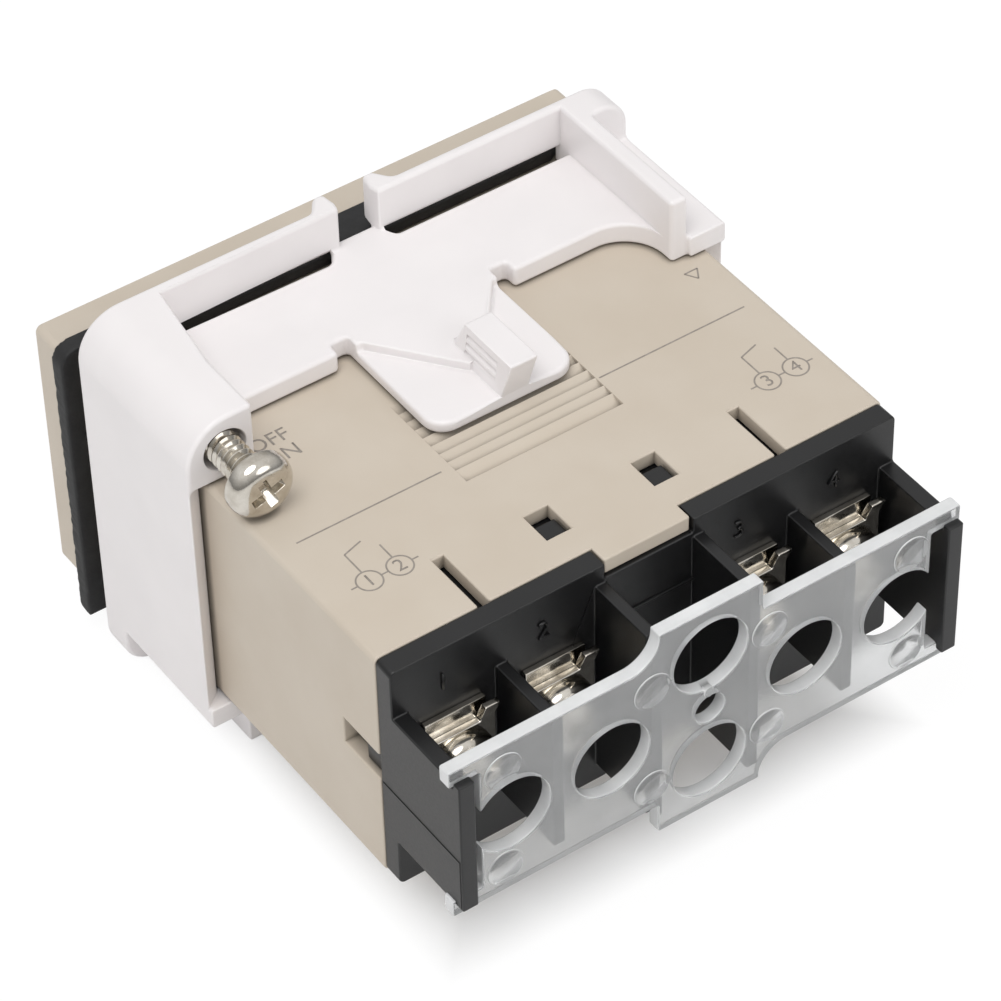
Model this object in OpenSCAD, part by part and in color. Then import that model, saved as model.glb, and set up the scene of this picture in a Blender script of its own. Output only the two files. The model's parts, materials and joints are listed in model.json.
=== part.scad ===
// Panel counter: a small self-powered totaliser for a panel cut-out, with its clamp bracket.
// Origin at the centre of the bezel's rear face, the plane of the panel.
// The front faces -Y, the terminals are at +Y and +Z is up. All lengths in millimetres.

/* [Bezel] */
// Width of the front bezel
bezel_w = 48; // [47:0.5:52]
// Height of the front bezel
bezel_h = 24; // [23.5:0.5:28]
// Depth of the bezel in front of the panel
bezel_t = 2.9; // [2.6:0.1:4]
// Corner radius of the bezel
bezel_r = 0.6; // [0.3:0.1:1.5]
// Thickness of the bezel's front wall
front_wall = 2.4; // [2.2:0.1:2.5]

/* [Case] */
// Width of the body that passes the panel
body_w = 44.8; // [44.4:0.1:46]
// Height of the body that passes the panel
body_h = 22; // [21.6:0.1:23]
// Length of the body behind the bezel
body_len = 40; // [39:0.5:44]
// Wall thickness of the case
body_wall = 1.4; // [1.2:0.1:1.6]
// Corner radius of the body
body_r = 0.5; // [0.3:0.1:0.9]
// Width of the short tongue at the rear edge, top and bottom
rear_tongue_w = 7.6; // [6:0.2:8]
// Length of that tongue past the rear edge
rear_tongue_len = 1.5; // [1:0.1:1.7]
// Distance of each snap window from the middle
window_x = 4.75; // [4.4:0.05:5.4]
// Width of a snap window
window_w = 2.1; // [1.8:0.1:2.6]
// Length of a snap window
window_len = 2.9; // [2.4:0.1:3.4]
// Distance from a snap window to the rear edge
window_to_rear = 2.6; // [2.2:0.1:3]
// Distance of each relief slot from the middle
slot_x = 13.1; // [11:0.1:15]
// Width of a relief slot
slot_w = 0.95; // [0.6:0.05:1.4]
// Length of a relief slot
slot_len = 5.7; // [4:0.1:6.2]
// Height of the key notch in each side wall
side_notch_h = 2.5; // [2:0.1:3]
// Length of that key notch
side_notch_len = 4.6; // [3.5:0.1:5.6]

/* [Ratchet] */
// Width of the ratchet ridges
ratchet_w = 14; // [13:0.5:15]
// Distance from the panel plane to the first ridge
ratchet_start = 19.3; // [18:0.1:20]
// Pitch of the ridges
ratchet_pitch = 1.05; // [0.8:0.05:1.1]
// Number of ridges
ratchet_count = 8; // [6:1:8]
// Depth of the ridges below the case's surface
ratchet_depth = 0.5; // [0.3:0.05:0.6]
// Length of the wider hollow behind the last ridge
ratchet_ramp = 1.4; // [1:0.1:2.5]

/* [Display] */
// Distance of the display from the middle, to the left seen from the front
display_x = -4.2; // [-4.6:0.1:-3.8]
// Width of the lens
lens_w = 30; // [29:0.2:30.4]
// Height of the lens
lens_h = 12; // [11:0.2:12.6]
// Thickness of the lens
lens_t = 1; // [0.8:0.1:1.1]
// Width of the step that carries the lens
lens_step = 1.2; // [0.8:0.1:1.6]
// How far the lens lies below the front face
lens_sink = 0.2; // [0.1:0.05:0.4]
// Width of the display glass
glass_w = 30; // [29:0.2:30.4]
// Height of the display glass
glass_h = 14; // [13.6:0.2:14.4]
// Thickness of the display glass
glass_t = 2.2; // [1.8:0.1:2.6]
// Depth of the display holder
holder_d = 6.5; // [6:0.1:7]
// Height of a contact strip
strip_h = 1.6; // [1.2:0.1:2]
// Width of a contact strip
strip_w = 28; // [26:0.5:29]

/* [Reset key] */
// Distance of the reset key from the middle
key_x = 16.2; // [16:0.05:16.3]
// Width of the reset key
key_w = 5.4; // [5:0.1:5.6]
// Height of the reset key
key_h = 8; // [6:0.2:9]
// How far the key stands out of the bezel
key_proud = 0.4; // [0.2:0.1:0.6]
// Width of the key's rear flange past the key
key_flange = 0.6; // [0.4:0.05:0.7]
// Thickness of the key's rear flange
key_flange_t = 0.8; // [0.6:0.05:0.9]
// Travel of the key
key_travel = 0.5; // [0.3:0.05:0.5]
// Side of the square reset switch
switch_side = 6; // [5.6:0.1:6.4]
// Height of the reset switch above its board
switch_h = 3.5; // [3:0.1:4]
// Radius of the switch plunger
plunger_r = 1.7; // [1.2:0.1:2]
// Length of the plunger inside the switch
plunger_in = 0.7; // [0.5:0.1:1]

/* [Boards and cell] */
// Thickness of the circuit boards
board_t = 1; // [0.8:0.1:1.2]
// Length of the main board
main_board_len = 26; // [24:0.5:26.2]
// Gap between the main board's rear end and the terminal block
board_end_gap = 0.5; // [0.2:0.1:1]
// Height of the rails under the main board
rail_h = 1; // [0.8:0.1:1.2]
// Width of those rails
rail_w = 1.2; // [0.8:0.1:2]
// Distance of each rail from the middle
rail_x = 15; // [10:0.5:18]
// Diameter of the lithium cell
cell_d = 14.5; // [13:0.1:14.6]
// Length of the lithium cell
cell_len = 25; // [22:0.5:26]
// Distance from the panel plane to the cell's axis
cell_y = 18; // [17.6:0.1:20]
// Thickness of the cell's solder tabs
tab_t = 0.3; // [0.2:0.05:0.4]
// Width of the cell's solder tabs
tab_w = 5; // [4:0.2:6]

/* [Slide switches] */
// Distance of each slide switch from the middle
slide_x = 14; // [13:0.1:15]
// Width of a slide switch
slide_w = 7; // [6.4:0.1:7.6]
// Depth of a slide switch
slide_d = 4; // [3.6:0.1:4.4]
// Height of a slide switch
slide_h = 3.4; // [3:0.1:3.8]
// Side of the square knob
knob_side = 1.6; // [1.4:0.1:2]
// Travel of the knob
knob_travel = 2; // [1.5:0.1:2.4]
// How far the knob lies below the case's surface
knob_sink = 0.3; // [0.2:0.05:0.6]
// Depth of the knob's slot in the switch
knob_slot = 0.8; // [0.6:0.1:1.2]

/* [Terminal block] */
// Thickness of the block's wall behind the case
wall_t = 1.8; // [1.7:0.1:2.4]
// How far the block lies inside the case's outline
block_inset = 0.1; // [0.05:0.05:0.3]
// Length of the skirt inside the case
skirt_len = 6.4; // [6.2:0.1:6.8]
// Wall thickness of the skirt
skirt_wall = 1.2; // [1:0.1:1.4]
// Thickness of the solid floor inside the case
bulkhead = 3; // [2.6:0.1:3.4]
// Pitch of the bays
bay_pitch = 8.65; // [8.4:0.05:8.8]
// Thickness of the barriers between bays
barrier_t = 1; // [0.8:0.1:1.2]
// Half height of the outer barriers and the side walls
barrier_z = 6.4; // [6.2:0.1:6.8]
// Half height of the two barriers beside the middle bay
inner_barrier_z = 9.2; // [8.6:0.1:9.4]
// Thickness of the side walls
end_wall_t = 1.35; // [1.2:0.05:1.5]
// Length of the side walls behind the block's wall
end_wall_len = 8.2; // [8:0.1:9]

/* [Terminals] */
// Width of a terminal plate
plate_w = 5.2; // [4.8:0.1:6]
// Half height of a terminal plate
plate_z = 4.6; // [4.5:0.1:5]
// Thickness of a terminal plate
plate_t = 0.5; // [0.4:0.05:0.7]
// Width of a terminal's tail
tail_w = 2; // [1.6:0.1:2.6]
// Height of a terminal's tail below the screw
tail_z = 4.2; // [4:0.1:4.5]
// Side of a clamp washer
washer_side = 6; // [5.6:0.1:6.2]
// Thickness of a clamp washer
washer_t = 0.6; // [0.5:0.05:0.8]
// Diameter of a terminal screw's head
term_head_d = 5.5; // [5:0.1:5.8]
// Height of a terminal screw's head
term_head_h = 1.8; // [1.6:0.1:2]
// Length of a terminal screw's thread
term_thread_len = 5; // [4:0.1:5.2]
// Nominal diameter of all screw threads
thread_d = 3; // [2.5:0.1:3.2]

/* [Terminal cover] */
// Thickness of the cover
cover_t = 1.2; // [1:0.1:1.4]
// Clear depth of the bays under the cover
bay_depth = 6.2; // [6:0.1:6.4]
// Half length of the cover's plate
cover_x = 20; // [19.8:0.05:20.2]
// Half height of the cover's outer parts
cover_z = 7.4; // [7.2:0.05:7.8]
// Half width of the cover's middle part
cover_mid_x = 4.6; // [4.2:0.1:5]
// Half height of the cover's middle part
cover_mid_z = 10.15; // [9.8:0.05:10.8]
// Radius of the two fillets beside the middle part
cover_fillet = 2.5; // [1.5:0.1:2.7]
// Diameter of the driver holes
driver_hole_d = 6.5; // [6.2:0.1:6.6]
// Distance of the two middle holes from the centre
mid_hole_z = 5.4; // [5:0.05:5.8]
// Diameter of the small centre hole
centre_hole_d = 2.6; // [2:0.1:2.8]
// Height of an end peg
peg_h = 1.5; // [1.2:0.1:1.6]
// How far a peg stands out past the block's side wall
peg_proud = 0.3; // [0.1:0.1:1]

/* [Gasket] */
// Thickness of the gasket
gasket_t = 1.5; // [1:0.1:1.8]
// Half width of the gasket
gasket_x = 24.4; // [24.2:0.1:24.8]
// Width of the gasket's bars at the sides
gasket_bar = 1.8; // [1.6:0.1:1.9]
// Width of the gasket's bar above and below
gasket_top_bar = 1.3; // [1:0.1:1.4]
// Height of the gasket's opening past the body
gasket_sag = 2.6; // [1:0.1:3]

/* [Bracket] */
// Distance from the panel plane to the bracket's front
bracket_y = 3.4; // [3:0.1:4]
// Length of the bracket's side walls
bracket_len = 15.2; // [14.6:0.1:16]
// Length of the bracket's plates
plate_len = 10.6; // [10:0.1:11]
// Thickness of the bracket's plates
bracket_plate = 1.9; // [1.6:0.1:2.1]
// Thickness of the bracket's side walls
bracket_wall = 1.5; // [1.2:0.1:1.8]
// Height of the arms, blocks and ribs above the plate
bracket_rise = 3.9; // [3.6:0.1:4.2]
// Corner radius of the flange
flange_r = 2.5; // [1.5:0.1:3.5]
// Radius of the screw block's outer edge
block_r = 3.8; // [3:0.1:4]
// Thickness of the flange at its corners
flange_t = 3; // [2.4:0.1:3.4]
// Thickness of a spring arm
arm_t = 0.9; // [0.7:0.1:1.1]
// Width of the slot behind a spring arm
arm_slot = 0.95; // [0.7:0.05:1.2]
// How far an arm's tip stands forward
arm_bump = 1.4; // [1:0.1:1.5]
// Tip of the longer arm, from the middle
arm_tip_long = 1.25; // [0.6:0.05:1.6]
// Tip of the shorter arm, from the middle
arm_tip_short = -2.3; // [-3:0.1:-1.8]
// Root of the arm at the screw block
arm_root_block = 15.85; // [15.4:0.05:16.2]
// Root of the arm at the rib
arm_root_rib = -19.1; // [-19.4:0.05:-18.4]
// Inner face of the screw block at its rear end
block_x = 18.2; // [17.8:0.1:18.4]
// Inner face of the screw block at its front end
block_front_x = 17.2; // [16.4:0.1:17.6]
// Radius of the hollow curve where the plate runs up into the screw block
cove_r = 2.3; // [1.5:0.1:2.5]
// How far the ledge beside the rib reaches past the bracket's rear
ledge_len = 0.4; // [0.2:0.1:0.8]
// Inner face of the rib
rib_x = 19.1; // [18.9:0.1:19.4]
// Thickness of the rib
rib_t = 1.5; // [1.2:0.1:1.8]
// Radius where the plate runs into the rib
rib_fillet = 3.7; // [3:0.1:4]

/* [Latch tongue] */
// Half width of the latch tongue
tongue_x = 6.4; // [6:0.1:6.6]
// Length of the tongue past its root
tongue_len = 11.6; // [11:0.1:12]
// Thickness of the tongue
tongue_t = 1.1; // [0.9:0.1:1.3]
// Corner radius of the tongue's tip
tongue_r = 1.8; // [1:0.1:2.2]
// Depth of the notches beside the tongue's root
root_notch = 1.2; // [0.8:0.1:1.5]
// Width of those notches
root_notch_w = 1.5; // [1.2:0.1:1.8]
// Width of the thumb tab
thumb_w = 2.5; // [2:0.1:3]
// Height of the thumb tab above the tongue
thumb_h = 3.1; // [2.4:0.1:3.6]
// Length of the thumb tab
thumb_len = 5.4; // [5:0.1:6]
// Overhang of the thumb tab's top
thumb_lean = 0.6; // [0.4:0.1:1.1]
// Distance of the thumb tab's grip face from the middle
thumb_x = 0.1; // [-0.2:0.1:0.6]
// How far the thumb tab's top leans sideways from its foot
thumb_tilt = 0.6; // [0:0.1:0.8]
// Depth of the grip grooves on the thumb tab
grip_depth = 0.2; // [0.15:0.05:0.4]

/* [Clamp screws] */
// Distance of each clamp screw from the middle
screw_x = 20.7; // [20.4:0.1:20.9]
// Height of each clamp screw's axis above the body
screw_rise = 2.8; // [2.75:0.05:3]
// Diameter of a clamp screw's head
screw_head_d = 5.3; // [4.8:0.1:5.4]
// Height of a clamp screw's head
screw_head_h = 2.1; // [1.8:0.1:2.3]
// Length of a clamp screw's thread
screw_len = 16; // [15:0.5:16.5]
// How far the head stands off the screw block
screw_stand_off = 3.7; // [2:0.1:4]
// Diameter of the hole's wider mouth
screw_mouth_d = 3.6; // [3.4:0.1:4]
// Depth of the hole's wider mouth
screw_mouth_len = 2.5; // [1:0.1:4]

/* [Clearances] */
// Gap between pieces that slide on each other
slide_gap = 0.1; // [0.05:0.01:0.15]
// Gap between pieces that are fitted together
fit_gap = 0.05; // [0.02:0.01:0.1]

/* [Hidden] */
$fn = 64;

// Overshoot of cutting shapes
cut = 1;

// Proportions of a pan head: height of its crown, and width and length of its cross recess
crown_share = 0.42;
blade_width_share = 0.16;
blade_length_share = 0.56;

// Share of a snap window that its hook fills, and of the side notch that its rib fills
hook_share = 0.6;
rib_share = 0.5;

// How far that rib lies below the block's side
rib_recess = 0.4;

// Faces of the case
body_top = body_h / 2;
body_side = body_w / 2;
cavity_w = body_w - 2 * body_wall;
cavity_h = body_h - 2 * body_wall;
cavity_y = front_wall - bezel_t;
cavity_floor = -cavity_h / 2;

// Faces of the display stack
lens_y = -bezel_t + lens_sink;
lens_seat_y = lens_y + lens_t;
board_y = cavity_y + holder_d;
board_rear = board_y + board_t;
board_w = cavity_w - 8 * slide_gap;
board_h = cavity_h - 8 * slide_gap;
key_pocket_w = key_w + 2 * key_flange + 4 * slide_gap;
key_pocket_h = key_h + 2 * key_flange + 4 * slide_gap;
key_back = cavity_y + fit_gap + key_flange_t;
switch_top = board_y - switch_h;

// Faces of the main board and the cell
main_top = cavity_floor + rail_h + board_t;
main_y = board_rear + slide_gap;
cell_z = main_top + cell_d / 2 + fit_gap;

// Faces of the slide switches
slide_top = cavity_h / 2 - slide_gap;
knob_y = board_rear + slide_d / 2;

// Faces of the terminal block
wall_rear = body_len + wall_t;
block_w = body_w - 2 * block_inset;
block_h = body_h - 2 * block_inset;
skirt_w = cavity_w - 2 * fit_gap;
skirt_h = cavity_h - 2 * fit_gap;
skirt_y = body_len - skirt_len;
cover_y = wall_rear + bay_depth;
end_wall_x = block_w / 2 - end_wall_t;
bays = [-2 * bay_pitch, -bay_pitch, bay_pitch, 2 * bay_pitch];
window_y = body_len - window_to_rear - window_len / 2;
peg_z = cover_z - peg_h;

// Faces of the terminals
washer_y = wall_rear + plate_t;
head_y = washer_y + washer_t;
thread_hole_d = thread_d + 2 * fit_gap;

// Faces of the bracket
sleeve_x = body_side + slide_gap;
sleeve_z = body_top + slide_gap;
bracket_x = sleeve_x + bracket_wall;
bracket_z = sleeve_z + bracket_plate;
bracket_top = bracket_z + bracket_rise;
bracket_rear = bracket_y + bracket_len;
plate_rear = bracket_y + plate_len;
root_y = plate_rear - root_notch;
slot_front = bracket_y + arm_t;
slot_rear = slot_front + arm_slot;
tongue_top = sleeve_z + tongue_t;
tongue_tip = root_y + tongue_len;
screw_z = body_top + screw_rise;

// A flat shape in X and Z, drawn out along Y from y0 to y1
module along_y(y0, y1) {
  translate([0, y1, 0])
    rotate([90, 0, 0])
      linear_extrude(height = y1 - y0)
        children();
}

// A flat shape in Y and Z, drawn out along X from x0 to x1
module along_x(x0, x1) {
  translate([x0, 0, 0])
    rotate([90, 0, 90])
      linear_extrude(height = x1 - x0)
        children();
}

// A flat shape in X and Y, drawn out along Z from z0 to z1
module along_z(z0, z1) {
  translate([0, 0, z0])
    linear_extrude(height = z1 - z0)
      children();
}

// A rectangle about the origin with round corners
module round_rect(w, h, r) {
  square([w - 2 * r, h], center = true);
  square([w, h - 2 * r], center = true);
  for (sx = [-1, 1])
    for (sy = [-1, 1])
      translate([sx * (w / 2 - r), sy * (h / 2 - r)])
        circle(r);
}

// A box between two corners
module box(low, high) {
  translate(low)
    cube(high - low);
}

// Both halves of a shape that repeats when turned half a turn about Y
module both_turns() {
  for (turn = [0, 180])
    rotate([0, turn, 0])
      children();
}

// A round rod along Y
module rod(x, z, y0, y1, d) {
  translate([x, y1, z])
    rotate([90, 0, 0])
      cylinder(d = d, h = y1 - y0);
}

// A cross recess in a screw head that faces +Y, with its floor at y0
module cross_recess(y0, y1, head_d) {
  blade_w = head_d * blade_width_share;
  blade_l = head_d * blade_length_share;
  along_y(y0, y1 + cut) {
    square([blade_w, blade_l], center = true);
    square([blade_l, blade_w], center = true);
  }
}

// A pan head screw on the Y axis, its head's underside at y = 0 and facing +Y
module pan_screw(head_d, head_h, thread_len) {
  crown = head_h * crown_share;
  crown_r = (head_d * head_d / 4 + crown * crown) / (2 * crown);
  recess_floor = head_h * crown_share;
  difference() {
    intersection() {
      rod(0, 0, 0, head_h, head_d);
      translate([0, head_h - crown_r, 0])
        sphere(crown_r);
    }
    cross_recess(recess_floor, head_h, head_d);
  }
  rod(0, 0, -thread_len, recess_floor / 2, thread_d);
}

// Sawtooth ridges in Y and Z that are cut from the case's top
module ratchet_profile() {
  ramp_y = ratchet_start + ratchet_count * ratchet_pitch;
  ramp_share = 0.8;
  floor_z = body_top - ratchet_depth;
  for (i = [0 : ratchet_count - 1]) {
    y = ratchet_start + i * ratchet_pitch;
    polygon([[y, body_top], [y + ratchet_pitch, floor_z], [y + ratchet_pitch, body_top]]);
  }
  polygon([[ramp_y, body_top], [ramp_y + ratchet_ramp * ramp_share, floor_z],
           [ramp_y + ratchet_ramp, body_top]]);
}

// Cuts at the top of the case that repeat at the bottom
module case_top_cuts() {
  wall_low = body_top - body_wall - cut;
  along_x(-ratchet_w / 2, ratchet_w / 2)
    ratchet_profile();
  for (side = [-1, 1]) {
    translate([side * window_x - window_w / 2, window_y - window_len / 2, wall_low])
      cube([window_w, window_len, body_wall + 2 * cut]);
    translate([side * slot_x - slot_w / 2, body_len - slot_len, wall_low])
      cube([slot_w, slot_len + cut, body_wall + 2 * cut]);
  }
}

// Moulded housing with its bezel
module case() {
  knob_slot_w = knob_side + knob_travel + 4 * slide_gap;
  knob_slot_d = knob_side + 4 * slide_gap;
  color("#cdc1b1")
  difference() {
    union() {
      along_y(-bezel_t, 0)
        round_rect(bezel_w, bezel_h, bezel_r);
      along_y(-front_wall / 2, body_len)
        round_rect(body_w, body_h, body_r);
      both_turns()
        box([-rear_tongue_w / 2, body_len - cut, body_top - body_wall],
            [rear_tongue_w / 2, body_len + rear_tongue_len, body_top]);
    }
    difference() {
      along_y(cavity_y, body_len + rear_tongue_len + cut)
        square([cavity_w, cavity_h], center = true);
      for (side = [-1, 1])
        box([side * rail_x - rail_w / 2, main_y, cavity_floor - cut],
            [side * rail_x + rail_w / 2, main_y + main_board_len, cavity_floor + rail_h]);
    }
    translate([display_x, 0, 0]) {
      along_y(-bezel_t - cut, lens_seat_y)
        square([lens_w + 2 * fit_gap, lens_h + 2 * fit_gap], center = true);
      along_y(lens_seat_y - cut / 2, cavity_y + cut)
        square([lens_w - 2 * lens_step, lens_h - 2 * lens_step], center = true);
    }
    translate([key_x, 0, 0])
      along_y(-bezel_t - cut, cavity_y + cut)
        square([key_w + 2 * slide_gap, key_h + 2 * slide_gap], center = true);
    both_turns()
      case_top_cuts();
    for (side = [-1, 1]) {
      box([side * body_side - body_wall - fit_gap, body_len - side_notch_len, -side_notch_h / 2],
          [side * body_side + body_wall + fit_gap, body_len + cut, side_notch_h / 2]);
      translate([side * slide_x - knob_slot_w / 2, knob_y - knob_slot_d / 2, body_top - body_wall - cut])
        cube([knob_slot_w, knob_slot_d, body_wall + 2 * cut]);
    }
  }
}

// Clear window in the bezel
module front_lens() {
  color("#dfe6e4")
  translate([display_x, 0, 0])
    along_y(lens_y, lens_seat_y)
      round_rect(lens_w, lens_h, bezel_r);
}

// Front key with the flange that keeps it in
module reset_button() {
  color("#8f9194")
  translate([key_x, 0, 0]) {
    along_y(-bezel_t - key_proud, key_back)
      round_rect(key_w, key_h, bezel_r);
    along_y(key_back - key_flange_t, key_back)
      square([key_w + 2 * key_flange, key_h + 2 * key_flange], center = true);
  }
}

// Pin of the reset switch, which the key pushes
module switch_plunger() {
  color("#2b2b2b")
  rod(key_x, 0, key_back, switch_top + plunger_in, 2 * plunger_r);
}

// Frame that holds the display and guides the key
module display_holder() {
  color("#e4e2dc")
  difference() {
    along_y(cavity_y, board_y)
      square([board_w, board_h], center = true);
    translate([display_x, 0, 0])
      along_y(cavity_y - cut, board_y + cut)
        square([glass_w + 2 * slide_gap, glass_h + 2 * slide_gap], center = true);
    translate([key_x, 0, 0])
      along_y(cavity_y - cut, board_y + cut)
        square([key_pocket_w, key_pocket_h], center = true);
  }
}

// Liquid crystal display
module lcd_panel() {
  color("#8c9a86")
  translate([display_x, 0, 0])
    along_y(cavity_y, cavity_y + glass_t)
      square([glass_w, glass_h], center = true);
}

// Two elastomer strips between the display and its board
module contact_strips() {
  color("#c9b8bd")
  for (side = [-1, 1])
    translate([display_x, 0, side * (glass_h / 2 - strip_h / 2)])
      along_y(cavity_y + glass_t, board_y)
        square([strip_w, strip_h], center = true);
}

// Circuit board behind the display
module front_board() {
  color("#2f6b4a")
  along_y(board_y, board_rear)
    square([board_w, board_h], center = true);
}

// Counter chip on the front board
module counter_chip() {
  chip_side = 9;
  chip_t = 1.4;
  color("#222222")
  translate([-bay_pitch, 0, 0])
    along_y(board_rear, board_rear + chip_t)
      square(chip_side, center = true);
}

// Crystal in its metal can
module crystal() {
  can_w = 8;
  can_h = 3.4;
  can_t = 2.4;
  color("#c8c9cb")
  translate([bay_pitch, 0, 0])
    along_y(board_rear, board_rear + can_t)
      round_rect(can_w, can_h, can_h / 2.1);
}

// Small parts on the front board
module chip_components() {
  chip_w = 2;
  chip_h = 1.2;
  chip_t = 0.6;
  chip_row = 6;
  color("#b59a6a")
  for (i = [-2 : 2])
    translate([i * 2 * chip_w, 0, chip_row])
      along_y(board_rear, board_rear + chip_t)
        square([chip_w, chip_h], center = true);
}

// Body of the reset switch
module reset_switch() {
  color("#3a3a3c")
  translate([key_x, 0, 0])
    difference() {
      along_y(switch_top, board_y)
        square(switch_side, center = true);
      rod(0, 0, switch_top - cut, switch_top + plunger_in + key_travel + slide_gap,
          2 * plunger_r + 2 * fit_gap);
    }
}

// Board along the floor of the case
module main_board() {
  color("#2f6b4a")
  box([-board_w / 2, main_y, main_top - board_t], [board_w / 2, main_y + main_board_len, main_top]);
}

// Header that joins the two boards
module board_header() {
  bar_w = 13;
  bar_side = 2.4;
  pin = 0.6;
  pin_pitch = 2;
  color("#1d1d1f") {
    box([-bar_w / 2, board_rear, main_top], [bar_w / 2, board_rear + bar_side, main_top + bar_side]);
    for (i = [-2 : 2])
      box([i * pin_pitch - pin / 2, board_rear + bar_side - pin, main_top],
          [i * pin_pitch + pin / 2, board_rear + bar_side + pin, main_top + pin]);
  }
}

// Lithium cell, lying across the case
module battery() {
  cap_d = 6;
  cap_t = 0.6;
  color("#3d5f8a")
  translate([0, cell_y, cell_z])
    rotate([0, 90, 0]) {
      cylinder(d = cell_d, h = cell_len - 2 * cap_t, center = true);
      cylinder(d = cap_d, h = cell_len, center = true);
    }
}

// Solder tabs at the ends of the cell
module battery_tabs() {
  color("#c8c9cb")
  for (side = [0, 1])
    mirror([side, 0, 0])
      box([cell_len / 2, cell_y - tab_w / 2, main_top],
          [cell_len / 2 + tab_t, cell_y + tab_w / 2, cell_z + tab_w / 2]);
}

// Body of a slide switch on the front board, its knob at the top
module slide_switch_body(side) {
  slot_long = knob_side + knob_travel + 2 * slide_gap;
  slot_wide = knob_side + 2 * slide_gap;
  difference() {
    box([side * slide_x - slide_w / 2, board_rear, slide_top - slide_h],
        [side * slide_x + slide_w / 2, board_rear + slide_d, slide_top]);
    translate([side * slide_x - slot_long / 2, knob_y - slot_wide / 2, slide_top - knob_slot])
      cube([slot_long, slot_wide, knob_slot + cut]);
  }
}

// Knob of a slide switch at one end of its travel
module slide_switch_knob(side) {
  start_x = side * slide_x - knob_travel / 2;
  box([start_x - knob_side / 2, knob_y - knob_side / 2, slide_top - knob_slot + slide_gap],
      [start_x + knob_side / 2, knob_y + knob_side / 2, body_top - knob_sink]);
}

// Switch that locks the reset key
module key_switch_body() {
  color("#2c2c2e")
  slide_switch_body(1);
}

// Knob of the key lock
module key_switch_knob() {
  color("#d8d8d4")
  slide_switch_knob(1);
}

// Switch that sets the counting speed
module speed_switch_body() {
  color("#2c2c2e")
  slide_switch_body(-1);
}

// Knob of the counting speed
module speed_switch_knob() {
  color("#d8d8d4")
  slide_switch_knob(-1);
}

// Barriers, side walls, hooks and ribs of the terminal block
module block_walls() {
  barrier_end = cover_y - fit_gap;
  hook_w = window_w - 6 * fit_gap;
  hook_len = window_len * hook_share;
  hook_top = body_top - body_wall / 3;
  hook_y = window_y + window_len / 2 - 3 * fit_gap - hook_len;
  rib_h = side_notch_h - 4 * fit_gap;
  rib_y = body_len - side_notch_len * rib_share;
  for (side = [-1, 1]) {
    box([side * bay_pitch / 2 - barrier_t / 2, body_len, -inner_barrier_z],
        [side * bay_pitch / 2 + barrier_t / 2, barrier_end, inner_barrier_z]);
    box([side * bay_pitch * 1.5 - barrier_t / 2, body_len, -barrier_z],
        [side * bay_pitch * 1.5 + barrier_t / 2, barrier_end, barrier_z]);
  }
  for (side = [0, 1])
    mirror([side, 0, 0]) {
      box([end_wall_x, body_len, -barrier_z], [block_w / 2, wall_rear + end_wall_len, barrier_z]);
      box([skirt_w / 2 - cut, rib_y, -rib_h / 2],
          [block_w / 2 - rib_recess, body_len + cut, rib_h / 2]);
    }
  both_turns()
    for (side = [-1, 1])
      translate([side * window_x - hook_w / 2, hook_y, skirt_h / 2 - cut])
        cube([hook_w, hook_len, hook_top - skirt_h / 2 + cut]);
}

// Moulded terminal block
module terminal_block() {
  notch_x = rear_tongue_w / 2 + 2 * fit_gap;
  notch_z = cavity_h / 2 - fit_gap;
  tail_slot_w = tail_w + 2 * fit_gap;
  tail_slot_h = plate_t + 2 * fit_gap;
  color("#2a2a2b")
  difference() {
    union() {
      along_y(body_len, wall_rear)
        round_rect(block_w, block_h, body_r);
      along_y(skirt_y, body_len + cut)
        square([skirt_w, skirt_h], center = true);
      block_walls();
    }
    along_y(skirt_y - cut, body_len - bulkhead)
      square([skirt_w - 2 * skirt_wall, skirt_h - 2 * skirt_wall], center = true);
    box([-board_w / 2 - slide_gap, main_y, main_top - board_t - slide_gap],
        [board_w / 2 + slide_gap, main_y + main_board_len + board_end_gap, main_top + slide_gap]);
    both_turns()
      box([-notch_x, body_len, notch_z], [notch_x, wall_rear + cut, body_top + cut]);
    for (x = bays) {
      rod(x, 0, body_len - bulkhead - cut, wall_rear + cut, thread_hole_d + 4 * fit_gap);
      translate([x, 0, -tail_z])
        along_y(body_len - bulkhead - cut, wall_rear + cut)
          square([tail_slot_w, tail_slot_h], center = true);
    }
    for (side = [0, 1])
      mirror([side, 0, 0])
        both_turns_z()
          box([end_wall_x - cut, cover_y - fit_gap, peg_z - fit_gap],
              [block_w / 2 + cut, cover_y + cover_t + fit_gap, barrier_z + cut]);
  }
}

// A shape and its mirror image below
module both_turns_z() {
  for (side = [0, 1])
    mirror([0, 0, side])
      children();
}

// Four terminal strips with tails to the main board
module terminal_plates() {
  leg_y = main_y + main_board_len - 2 * plate_t;
  color("#d9d6cf")
  for (x = bays)
    difference() {
      union() {
        box([x - plate_w / 2, wall_rear, -plate_z], [x + plate_w / 2, washer_y, plate_z]);
        box([x - tail_w / 2, leg_y, -tail_z - plate_t / 2],
            [x + tail_w / 2, washer_y, -tail_z + plate_t / 2]);
        box([x - tail_w / 2, leg_y, main_top], [x + tail_w / 2, leg_y + plate_t, -tail_z + plate_t / 2]);
      }
      rod(x, 0, wall_rear - cut, washer_y + cut, thread_hole_d);
    }
}

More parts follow.
